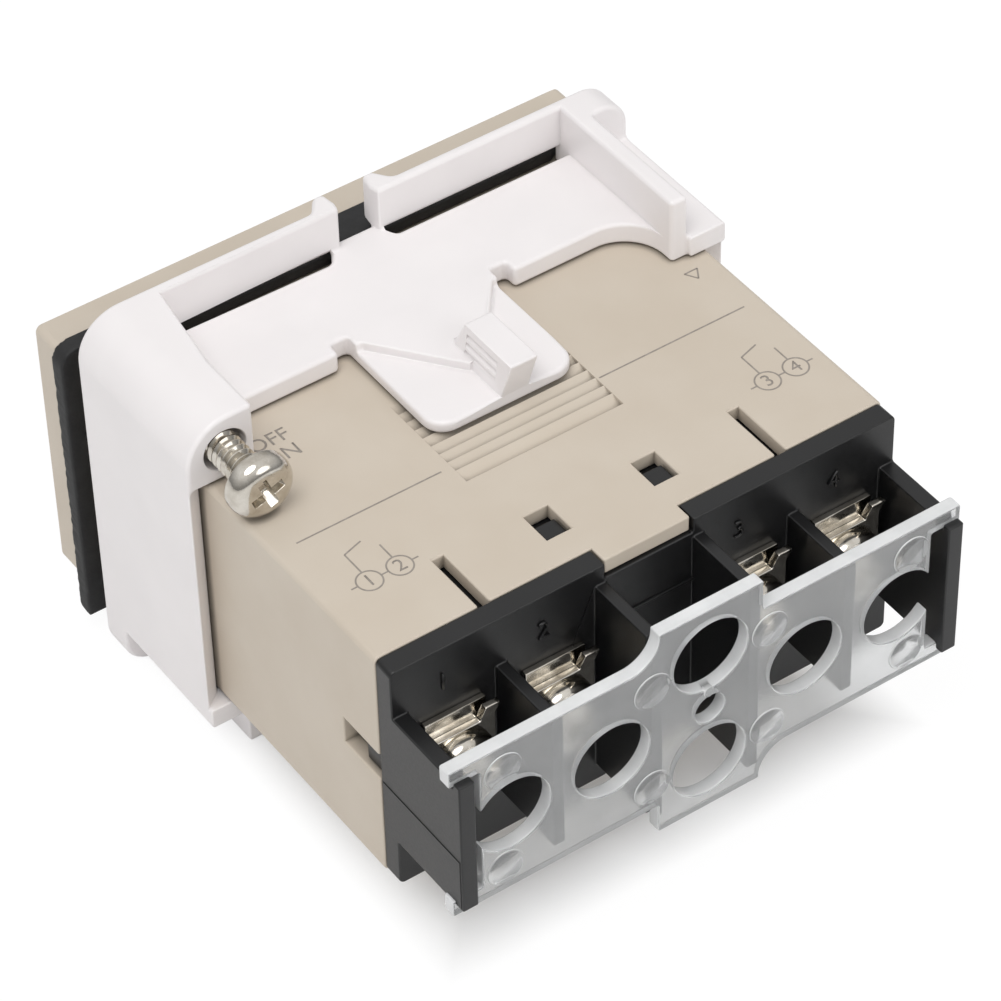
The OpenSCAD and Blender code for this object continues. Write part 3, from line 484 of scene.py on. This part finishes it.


# The beige and white plastics get painted shade in their corners and grooves
BEIGE = moulded_plastic("abs_warm_beige", "#C9BDAD", "#CEC3B4", roughness=0.48, painted_corner_shade=0.5)
WHITE = moulded_plastic("nylon_white", "#EDE9E9", "#F1EDED", roughness=0.42, relief=0.2, painted_corner_shade=0.12)
BLACK = moulded_plastic("glass_filled_nylon_black", "#101011", "#161617", roughness=0.36, relief=0.3)
OFF_WHITE = moulded_plastic("abs_off_white", "#DEDCD5", "#E4E2DC", roughness=0.45)
KEY_GREY = moulded_plastic("abs_grey", "#83868A", "#8C8F93", roughness=0.45)
CERAMIC = moulded_plastic("ceramic_tan", "#AD9262", "#B99E6E", roughness=0.5, grain=0.1)
ELASTOMER = moulded_plastic("silicone_pink", "#C2AFB5", "#CBBAC0", roughness=0.6, patch=0.3)
COVER = clear_cover_plastic()
LENS = clear_lens_plastic()
NICKEL = nickel_plated_steel()
RUBBER = gasket_rubber()
INK = pad_print("pad_print_grey", "#8B847C", "#A09890")
SEGMENT = pad_print("display_segment_dark", "#20241F", "#2A2F29")
GLASS = display_glass()
LAMINATE = board_laminate()
JACKET = cell_jacket()


# Case


def make_case():
    """The beige housing with real edge radii."""
    window_x = 4.75
    beside = 0.7
    x_cuts = [-window_x, 0, window_x]
    z_cuts = [0]
    for name in ("key_switch_knob", "speed_switch_knob"):
        low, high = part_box(name)
        x_cuts.append((low.x + high.x) / 2 / MM)
    for name in ("front_lens", "reset_button"):
        low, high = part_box(name)
        x_cuts += [low.x / MM - beside, high.x / MM + beside]
        z_cuts += [low.z / MM - beside, high.z / MM + beside]
    shell = cad_copy("case_shell", "case", x_cuts, z_cuts)
    soft_edges(shell, 0.18, share_at=case_share, hollow=0.0)
    finish(shell, BEIGE, "housing", "case_plastic", "case")


def case_share(point):
    """Crisp edges on the latch ridges at the top and bottom of the case."""
    half_width = 7.1
    front = 18.5
    rear = 29.5
    floor = 10.4
    on_ridges = abs(point.x) < half_width and front < point.y < rear and abs(point.z) > floor
    return 0.12 if on_ridges else 1.0


def ink_mesh(obj, height=0.02):
    """Give a flat mark in the XY plane a thin body so that it can lie on the case's top."""
    only(obj)
    bpy.ops.object.mode_set(mode="EDIT")
    bpy.ops.mesh.select_all(action="SELECT")
    bpy.ops.mesh.extrude_region_move(TRANSFORM_OT_translate={"value": (0, 0, height * MM)})
    bpy.ops.mesh.select_all(action="SELECT")
    bpy.ops.mesh.normals_make_consistent(inside=False)
    bpy.ops.object.mode_set(mode="OBJECT")
    return obj


def word(text, size, thinner=0.004):
    """A flat mesh of a numeral or a switch word about the origin, read along -X with its head to -Y.

    Thinner is the share of the size by which the edges of the strokes are drawn in.
    """
    bpy.ops.object.select_all(action="DESELECT")
    bpy.ops.object.text_add(rotation=(0, 0, math.pi))
    obj = bpy.context.object
    obj.data.body = text
    obj.data.size = size * MM
    obj.data.align_x = "CENTER"
    obj.data.align_y = "CENTER"
    obj.data.offset = -thinner * size * MM
    obj.data.resolution_u = 4
    bpy.ops.object.convert(target="MESH")
    bpy.ops.object.transform_apply(location=True, rotation=True, scale=True)
    return bpy.context.object


def ring(radius, line):
    """A flat ring of this radius and line width about the origin."""
    bpy.ops.object.select_all(action="DESELECT")
    bpy.ops.mesh.primitive_circle_add(vertices=48, radius=radius * MM, fill_type="NGON")
    obj = bpy.context.object
    bpy.ops.object.mode_set(mode="EDIT")
    bpy.ops.mesh.select_all(action="SELECT")
    bpy.ops.mesh.inset(thickness=line * MM)
    bpy.ops.mesh.delete(type="FACE")
    bpy.ops.object.mode_set(mode="OBJECT")
    return obj


def stroke(start, end, line):
    """A flat straight line between two (x, y) points."""
    bpy.ops.object.select_all(action="DESELECT")
    run = Vector(end) - Vector(start)
    middle = (Vector(end) + Vector(start)) / 2
    bpy.ops.mesh.primitive_plane_add(size=1, location=(middle.x * MM, middle.y * MM, 0),
                                     rotation=(0, 0, math.atan2(run.y, run.x)))
    obj = bpy.context.object
    obj.scale = (run.length * MM, line * MM, 1)
    bpy.ops.object.transform_apply(location=True, rotation=True, scale=True)
    return obj


def contact_sign(numerals, left, right, line):
    """Two numbered circles at these X places, joined by a line, with the open contact above them."""
    radius = 1.05
    numeral_size = 1.7
    y = 33.4
    stub = 0.5
    blade_y = y - 3.2
    blade_end = (right + 0.9, blade_y - 0.5)
    stop_y = blade_y + 0.6
    marks = []
    for numeral, x in zip(numerals, (left, right)):
        marks.append(place(ring(radius, line), x, y))
        marks.append(place(word(numeral, numeral_size), x, y))
    marks.append(stroke((left - radius, y), (right + radius, y), line))
    marks.append(stroke((left + radius, y), (left + radius + stub, y), line))
    marks.append(stroke((right - radius, y), (right - radius - stub, y), line))
    marks.append(stroke((left, y - radius), (left, blade_y), line))
    marks.append(stroke((right, y - radius), (right, stop_y), line))
    marks.append(stroke((left, blade_y), blade_end, line))
    return marks


def make_print():
    """Printed marks on the case's top: numbered circles with their contacts, rules and switch words."""
    knob_sunk = 0.3
    ink_sunk = 0.005
    body_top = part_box("key_switch_knob")[1].z / MM + knob_sunk
    line = 0.12
    word_size = 1.9
    marks = contact_sign("12", 18.3, 15.7, line) + contact_sign("34", -17.0, -19.6, line)
    for x0, x1, y in ((20.4, 7.9, 27.2), (-7.2, -20.6, 25.8)):
        marks.append(stroke((x0, y), (x1, y), line))
    for text, x, y in (("OFF", 16.2, 17.1), ("ON", 16.2, 18.95)):
        marks.append(place(word(text, word_size), x, y))
    pointer = [(-19.2, 20.2), (-20.4, 20.2), (-19.8, 21.2)]
    for start, end in zip(pointer, pointer[1:] + pointer[:1]):
        marks.append(stroke(start, end, line))
    sheet = ink_mesh(join("case_print", marks))
    place(sheet, z=body_top - ink_sunk)
    finish(sheet, INK, "housing", "black_plastic")


# Bracket


def make_bracket():
    """The white clamp bracket with softened edges."""
    screws = []
    for name in ("upper_clamp_screw", "lower_clamp_screw"):
        low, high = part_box(name)
        screws.append((low.x + high.x) / 2 / MM)
    bracket = cad_copy("clamp_bracket", "mounting_bracket", x_cuts=screws)
    soft_edges(bracket, 0.36, segments=4, share_at=bracket_share)
    finish(bracket, WHITE, "bracket", "bracket_plastic", "mounting_bracket")


def bracket_share(point):
    """Shares of the bracket's edge radius: none in bores, grip grooves and tight corners, and less by them.

    The lower half is the upper half turned about the Y axis, so one set of places serves both.
    """
    turn = math.copysign(1, point.z)
    x, y, z = point.x * turn, point.y, point.z * turn
    close = 0.1
    plate_top = 13.0
    plate_rear = 14.0
    arm_rear = 4.8
    bore_mouth = 18.4
    from_bore = math.hypot(x - 20.7, z - 13.8)
    from_rib = x + 19.1
    below_cove_top = 15.3 - z
    at_bore = from_bore < 2.2
    at_plate_top = abs(z - plate_top) < 1.5 * close
    at_plate_rear = abs(y - plate_rear) < close
    at_rib_foot = abs(from_rib) < close and (at_plate_top or y < arm_rear and z > plate_top)
    at_rib_fillet = 0 < from_rib < 3.8 and y > plate_rear - close and at_plate_top
    at_cove_end = 15.9 < x < 18.3 and at_plate_rear and 0 < below_cove_top < 1.5
    at_slot_root = 15.8 < x < 17.3 and 4.2 < y < 5.35
    on_thumb = -2.6 < x < 1.0 and y > 18.5 and z > 12.0
    in_grooves = on_thumb and 19.3 < y < 23.7 and 12.5 < z < 15.1
    if at_rib_foot or at_slot_root or in_grooves or at_bore and y < bore_mouth:
        return 0.0
    if at_bore:
        return 0.3
    if at_rib_fillet:
        return min(1.0, 0.8 * from_rib)
    if at_cove_end:
        return 0.6 * below_cove_top
    return 0.6 if on_thumb else 1.0


# Screws


# Depth of a thread as a share of its pitch
THREAD_DEPTH = 0.55


def thread(name, length, crest_r, pitch):
    """A rolled thread along Y from 0 to length, as one helical ridge."""
    root_r = crest_r - THREAD_DEPTH * pitch
    flat = 0.14 * pitch
    crest_y = 0.45 * pitch
    turn_steps = 28
    ridge = outline(name, [(root_r, 0), (root_r, flat), (crest_r, crest_y), (crest_r, crest_y + flat),
                           (root_r, pitch)])
    apply(ridge, "SCREW", axis="Y", angle=math.tau, screw_offset=pitch * MM,
          iterations=int(length / pitch), steps=turn_steps, render_steps=turn_steps)
    only(ridge)
    bpy.ops.object.mode_set(mode="EDIT")
    bpy.ops.mesh.select_all(action="SELECT")
    bpy.ops.mesh.remove_doubles(threshold=0.001 * MM)
    bpy.ops.mesh.normals_make_consistent(inside=False)
    bpy.ops.object.mode_set(mode="OBJECT")
    return ridge


def cross_blade(head_d, head_h, turn):
    """One tapered blade of the cross recess in a screw head."""
    long_half = 0.35 * head_d
    wide_half = 0.085 * head_d
    floor = 0.28 * head_h
    clear = 1.0
    floor_share = (0.45, 1, 0.7)
    blade = slab("blade", (-long_half, floor, -wide_half), (long_half, head_h + clear, wide_half))
    bpy.ops.object.mode_set(mode="EDIT")
    pick(blade, "FACE", lambda face: face.normal.y < -0.9)
    bpy.ops.transform.resize(value=floor_share)
    bpy.ops.object.mode_set(mode="OBJECT")
    return place(blade, turn_y=turn)


def pan_screw(name, head_d, head_h, length, crest_r, pitch=0.6):
    """A pan head screw on the Y axis: the head from y = 0 up, the thread below it."""
    radius = head_d / 2
    rim = 0.3 * head_h
    chamfer = 0.1
    roundness = 0.5
    crown = []
    for degrees in range(9, 90, 9):
        angle = math.radians(degrees)
        crown.append((radius * math.cos(angle) ** roundness, rim + (head_h - rim) * math.sin(angle)))
    skirt = [(0, 0), (radius - chamfer, 0), (radius, chamfer), (radius, rim)]
    head = lathe(name, skirt + crown + [(0, head_h)])
    for turn in (20, 110):
        cut_away(head, cross_blade(head_d, head_h, turn))
    soft_edges(head, 0.05, segments=2)
    point = 0.8
    overlap = 0.1
    root_r = crest_r - THREAD_DEPTH * pitch
    thread_len = length - point
    shank = place(thread("shank", thread_len, crest_r, pitch), y=overlap - thread_len)
    tip = lathe("tip", [(0, 0), (0.55 * root_r, 0), (root_r, point), (root_r, length), (0, length)])
    smooth(shank)
    smooth(tip)
    place(tip, y=-length)
    return join(name, [head, shank, tip])


def make_clamp_screws():
    """The two bright screws that push the bracket's arms on to the panel."""
    for cad_node, body in (("upper_clamp_screw", "upper_screw"), ("lower_clamp_screw", "lower_screw")):
        low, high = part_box(cad_node)
        head_d = (high.x - low.x) / MM
        head_h = 1.85
        length = (high.y - low.y) / MM - head_h
        middle = (low + high) / 2
        screw = pan_screw(f"{body}_threaded", head_d, head_h, length, crest_r=1.36)
        place(screw, middle.x / MM, high.y / MM - head_h, middle.z / MM)
        finish(screw, NICKEL, body, "plated_steel", cad_node)


# Terminals


def bay_places():
    """X of the four terminal screws, from the frame."""
    low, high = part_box("terminal_screws")
    outer = (high.x - (high.z - low.z) / 2) / MM
    return [outer, outer / 2, -outer / 2, -outer]


def make_terminal_screws():
    """The four terminal screws, each stopped at another turn."""
    low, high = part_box("terminal_screws")
    head_d = (high.z - low.z) / MM
    head_h = 1.8
    length = (high.y - low.y) / MM - head_h
    seat = high.y / MM - head_h
    master = pan_screw("terminal_screw", head_d, head_h, length, crest_r=1.5)
    screws = []
    for i, x in enumerate(bay_places()):
        screws.append(place(twin(master, f"terminal_screw_{i}"), x, seat, turn_y=35 * i))
    bpy.data.objects.remove(master)
    finish(join("terminal_screws_threaded", screws), NICKEL, "housing", "plated_steel", "terminal_screws")


def make_clamp_washers():
    """The square washers with their lugs bent up."""
    lug_foot = 3.2
    lug_start = lug_foot + 0.1
    lug_bend = 0.7
    washers = cad_copy("clamp_washers_bent", "clamp_washers", bay_places(), [-lug_foot, lug_foot])
    only(washers)
    bpy.ops.object.mode_set(mode="EDIT")
    pick(washers, "VERT", lambda vert: abs(vert.co.z) > lug_start * MM)
    bpy.ops.transform.translate(value=(0, lug_bend * MM, 0))
    bpy.ops.object.mode_set(mode="OBJECT")
    soft_edges(washers, 0.1, segments=2)
    finish(washers, NICKEL, "housing", "plated_steel", "clamp_washers")


def make_terminal_plates():
    """The pressed terminal strips with softened edges."""
    plates = cad_copy("terminal_plates_pressed", "terminal_plates", bay_places())
    soft_edges(plates, 0.08, segments=2)
    finish(plates, NICKEL, "housing", "plated_steel", "terminal_plates")


# Terminal block and cover


def make_block():
    """The black block with softened edges."""
    bays = bay_places()
    pitch = bays[1]
    barriers = [side * share * pitch for side in (-1, 1) for share in (0.5, 1.5)]
    block = cad_copy("terminal_block_moulded", "terminal_block", bays + barriers, [0])
    soft_edges(block, 0.14)
    finish(block, BLACK, "housing", "black_plastic", "terminal_block")


def make_block_relief():
    """Raised numerals in the bays, the step in the middle bay and the raised panel on the block's side."""
    wall_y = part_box("terminal_plates")[1].y / MM - 0.5
    side_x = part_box("terminal_block")[1].x / MM
    sunk = 0.1
    numeral_size = 2.3
    numeral_z = 7.6
    beside_middle = 0.7
    marks = []
    for numeral, x in zip("1234", bay_places()):
        digit = ink_mesh(word(numeral, numeral_size, thinner=0.016), height=0.2)
        marks.append(place(digit, x + beside_middle, wall_y - 0.02, numeral_z, turn_x=-90))
    step = slab("bay_step", (-3.9, wall_y - sunk, 4.9), (3.9, wall_y + 0.18, 5.2))
    soft_edges(step, 0.08, segments=2)
    marks.append(step)
    panel = slab("side_panel", (side_x - sunk, wall_y - 1.6, -6.2), (side_x + 0.06, wall_y + 8.0, -1.3))
    soft_edges(panel, 0.04, segments=2)
    marks.append(panel)
    relief = join("block_relief", marks)
    finish(relief, BLACK, "housing", "black_plastic")


def make_cover():
    """The milky clear cover with the round ejector marks of its tool."""
    cover = cad_copy("terminal_cover_clear", "terminal_cover", bay_places() + [0], [0])
    soft_edges(cover, 0.16)
    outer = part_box("terminal_cover")[1].y / MM
    sunk = -0.4
    mark = [(0, sunk), (1.6, sunk), (1.6, 0.06), (1.55, 0.1), (1.42, 0.1), (1.36, 0.03), (0, 0.03)]
    nub = [(0, sunk), (0.45, sunk), (0.45, 0.1), (0.3, 0.2), (0, 0.2)]
    for x in (-18.1, -5.2, 5.2, 18.1):
        for z in (-5.0, 5.0):
            cut_away(cover, place(lathe("ejector_mark", mark, steps=40), x, outer, z), "UNION")
    cut_away(cover, place(lathe("gate_nub", nub, steps=24), 0.2, outer, 1.9), "UNION")
    smooth(cover)
    finish(cover, COVER, "housing", "cover_plastic", "terminal_cover")


# Gasket


def make_gasket():
    """The rubber ring: its outer corners cut round, its top bar leaning back, its edges slightly ragged."""
    corner_r = 1.5
    ring_piece = cad_copy("gasket_ring", "gasket")
    low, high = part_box("gasket")
    only(ring_piece)
    bpy.ops.object.mode_set(mode="EDIT")
    pick(ring_piece, "EDGE", lambda edge: is_outer_corner(edge, low, high))
    bpy.ops.mesh.bevel(offset=corner_r * MM, segments=6, affect="EDGES")
    bpy.ops.object.mode_set(mode="OBJECT")
    apply(ring_piece, "REMESH", mode="VOXEL", voxel_size=0.16 * MM)
    apply(ring_piece, "SMOOTH", factor=0.5, iterations=4)
    lean_back(ring_piece, low, high)
    only(ring_piece)
    bpy.ops.object.shade_smooth()
    finish(ring_piece, RUBBER, "housing", "gasket_rubber", "gasket")


def is_outer_corner(edge, low, high):
    """True for the ring's outer corner edges that run along Y at its top."""
    first, second = edge.verts
    close = 0.1 * MM
    along_y = abs(first.co.y - second.co.y) > 1 * MM
    at_top = first.co.z > high.z - close
    at_side = abs(first.co.x) > high.x - close
    return along_y and at_top and at_side


def lean_back(obj, low, high):
    """Lean the soft top bar back against the bracket and tear the front edges of the side bars a little."""
    lean = 2.0 * MM
    straight = 18.8 * MM
    reach = 22.5 * MM
    bar_foot = high.z - 2.0 * MM
    ragged_edge = 0.12 * MM
    ragged_run = 0.8 * MM
    side_bar = high.x - 0.6 * MM
    for vert in obj.data.vertices:
        depth = (vert.co.y - low.y) / (high.y - low.y)
        if vert.co.z > bar_foot:
            share = (reach - abs(vert.co.x)) / (reach - straight)
            vert.co.y += lean * min(1.0, max(0.0, share)) * depth
        elif abs(vert.co.x) > side_bar:
            tear = abs(noise.noise(vert.co / ragged_run))
            fade = min(1.0, (bar_foot - vert.co.z) / MM)
            vert.co.x -= math.copysign(ragged_edge, vert.co.x) * tear * fade * (1 - depth)


# Front: lens, display and key


def seven_segment(name, width, height, bar):
    """The digit 0 of a seven-segment display in the XZ plane: six mitred bars about the origin."""
    gap = 0.12 * bar
    thick = 0.02
    half_bar = bar / 2
    half_w = width / 2
    half_h = height / 2
    across = half_w - half_bar - gap
    bars = []
    for z in (half_h, -half_h):
        bars.append(slab("bar", (-across, 0, z - half_bar), (across, thick, z + half_bar)))
    for x in (-half_w, half_w):
        for z0, z1 in ((gap, half_h - gap), (-half_h + gap, -gap)):
            bars.append(slab("bar", (x - half_bar, 0, z0), (x + half_bar, thick, z1)))
    digit = join(name, bars)
    only(digit)
    bpy.ops.object.mode_set(mode="EDIT")
    pick(digit, "EDGE", lambda edge: abs(edge.verts[0].co.y - edge.verts[1].co.y) > thick / 2 * MM)
    bpy.ops.mesh.bevel(offset=0.3 * bar * MM, segments=1, affect="EDGES")
    bpy.ops.object.mode_set(mode="OBJECT")
    return digit


def make_display():
    """Eight zeros on the display."""
    low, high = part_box("lcd_panel")
    middle_x = (low.x + high.x) / 2 / MM
    in_front = 0.02
    count = 8
    pitch = 3.1
    master = seven_segment("zero", width=1.9, height=4.4, bar=0.42)
    digits = []
    for i in range(count):
        x = middle_x + (i - (count - 1) / 2) * pitch
        digits.append(place(twin(master, f"zero_{i}"), x, low.y / MM - in_front))
    bpy.data.objects.remove(master)
    finish(join("display_digits", digits), SEGMENT, "housing", "black_plastic")


def make_key():
    """The grey key with rounded edges."""
    key = cad_copy("reset_key_moulded", "reset_button")
    soft_edges(key, 0.2)
    finish(key, KEY_GREY, "reset_key", "key_plastic", "reset_button")


# CAD nodes that stay as they are


def dress_nodes():
    """Procedural materials for the CAD nodes that are shown as they are."""
    by_slot = {
        "case_plastic": BEIGE, "bracket_plastic": WHITE, "black_plastic": BLACK, "white_plastic": OFF_WHITE,
        "key_plastic": KEY_GREY, "cover_plastic": COVER, "lens_plastic": LENS, "display_glass": GLASS,
        "gasket_rubber": RUBBER, "elastomer": ELASTOMER, "plated_steel": NICKEL, "board_laminate": LAMINATE,
        "ceramic": CERAMIC, "cell_jacket": JACKET,
    }
    for part in frame["record"]["subparts"]:
        obj = frame["nodes"][part["node"]]
        for i in range(len(obj.material_slots)):
            obj.material_slots[i].material = by_slot[part["material_slot"]]


# Stage, light and camera


def make_stage():
    """A pale floor that shows as white around the part and keeps the shadow under it."""
    side = 4
    below = 0.02 * MM
    bpy.ops.object.select_all(action="DESELECT")
    bpy.ops.mesh.primitive_plane_add(size=side, location=(0, 0, cad_box[0].z - below))
    floor = bpy.context.object
    floor.name = "studio_floor"
    only(floor)
    bpy.ops.object.transform_apply(location=True, rotation=True, scale=True)
    made = bpy.data.materials.new("pale_floor")
    made.use_nodes = True
    tree = made.node_tree
    tree.nodes.clear()
    paths = node(tree, "ShaderNodeLightPath").outputs
    seen = node(tree, "ShaderNodeMath", {0: paths["Is Camera Ray"], 1: paths["Is Transmission Ray"]},
                operation="MAXIMUM")
    middle = (cad_box[0] + cad_box[1]) / 2
    half = (cad_box[1] - cad_box[0]) / 2
    from_middle = node(tree, "ShaderNodeVectorMath",
                       {0: node(tree, "ShaderNodeTexCoord").outputs["Object"], 1: (middle.x, middle.y, 0)},
                       operation="SUBTRACT")
    in_halves = node(tree, "ShaderNodeVectorMath",
                     {0: from_middle.outputs["Vector"], 1: (half.x, half.y, 1)}, operation="DIVIDE")
    either_way = node(tree, "ShaderNodeVectorMath", {0: in_halves.outputs["Vector"]}, operation="ABSOLUTE")
    spot = node(tree, "ShaderNodeSeparateXYZ", {"Vector": either_way.outputs["Vector"]})
    away = node(tree, "ShaderNodeMath", {0: spot.outputs["X"], 1: spot.outputs["Y"]}, operation="MAXIMUM")
    white_out = node(tree, "ShaderNodeMapRange",
                     {"Value": away.outputs[0], "From Min": 0.68, "From Max": 0.92,
                      "To Min": 0.1, "To Max": 0.9})
    share = node(tree, "ShaderNodeMath", {0: seen.outputs[0], 1: white_out.outputs["Result"]},
                 operation="MULTIPLY")
    matt = node(tree, "ShaderNodeBsdfDiffuse", {"Color": (0.9, 0.9, 0.9, 1)})
    white = node(tree, "ShaderNodeEmission", {"Color": (1, 1, 1, 1), "Strength": 1.04})
    mixed = node(tree, "ShaderNodeMixShader",
                 {0: share.outputs[0], 1: matt.outputs["BSDF"], 2: white.outputs["Emission"]})
    node(tree, "ShaderNodeOutputMaterial", {"Surface": mixed.outputs["Shader"]})
    floor.data.materials.append(made)


def make_world():
    """White surroundings: full white to the eye, softer as a light, dim near the horizon in reflections."""
    world = bpy.data.worlds.new("white_studio")
    world.use_nodes = True
    tree = world.node_tree
    tree.nodes.clear()
    paths = node(tree, "ShaderNodeLightPath").outputs
    seen = node(tree, "ShaderNodeMath", {0: paths["Is Camera Ray"], 1: paths["Is Transmission Ray"]},
                operation="MAXIMUM")
    way = node(tree, "ShaderNodeSeparateXYZ", {"Vector": node(tree, "ShaderNodeTexCoord").outputs["Object"]})
    mirrored = node(tree, "ShaderNodeMapRange",
                    {"Value": way.outputs["Z"], "From Min": -0.05, "From Max": 0.7,
                     "To Min": 0.18, "To Max": 0.85})
    shone = node(tree, "ShaderNodeMix",
                 {"Factor": paths["Is Glossy Ray"], "A": 0.62, "B": mirrored.outputs["Result"]})
    level = node(tree, "ShaderNodeMix",
                 {"Factor": seen.outputs[0], "A": shone.outputs["Result"], "B": 1.0})
    sky = node(tree, "ShaderNodeBackground",
               {"Color": (1, 1, 1, 1), "Strength": level.outputs["Result"]})
    node(tree, "ShaderNodeOutputWorld", {"Surface": sky.outputs["Background"]})
    bpy.context.scene.world = world


def make_lamp(name, place_mm, aim_mm, size_mm, watts):
    """A large soft area lamp that looks at a point."""
    lamp = bpy.data.lights.new(name, "AREA")
    lamp.shape = "DISK"
    lamp.size = size_mm * MM
    lamp.energy = watts
    obj = bpy.data.objects.new(name, lamp)
    bpy.context.scene.collection.objects.link(obj)
    obj.location = Vector(place_mm) * MM
    obj.rotation_euler = (Vector(aim_mm) - Vector(place_mm)).to_track_quat("-Z", "Y").to_euler()


def make_camera():
    """The photograph's camera: behind, above and to the +X side, with a long lens."""
    place_mm = Vector((137.825, 227.385, 236.571))
    right = Vector((-0.81818, 0.574621, -0.019761))
    down = Vector((0.409348, 0.558031, -0.721828))
    ahead = Vector((-0.40375, -0.598675, -0.69179))
    focal_px = 4550.3
    picture_px = 1001
    sensor = 36.0
    camera = bpy.data.cameras.new("photo_camera")
    camera.sensor_width = sensor
    camera.lens = focal_px / picture_px * sensor
    obj = bpy.data.objects.new("photo_camera", camera)
    bpy.context.scene.collection.objects.link(obj)
    turn = Matrix((right, -down, -ahead)).transposed().to_4x4()
    obj.matrix_world = Matrix.Translation(place_mm * MM) @ turn
    bpy.context.scene.camera = obj


make_camera()
make_stage()
make_world()
make_lamp("key_lamp", place_mm=(166, 120, 464), aim_mm=(0, 20, 0), size_mm=320, watts=1.0)
make_lamp("rear_fill", place_mm=(-120, 420, 240), aim_mm=(0, 30, 0), size_mm=300, watts=0.35)
dress_nodes()
make_case()
make_print()
make_bracket()
make_clamp_screws()
make_terminal_screws()
make_clamp_washers()
make_terminal_plates()
make_block()
make_block_relief()
make_cover()
make_gasket()
make_display()
make_key()

bpy.context.scene.view_settings.view_transform = "Standard"
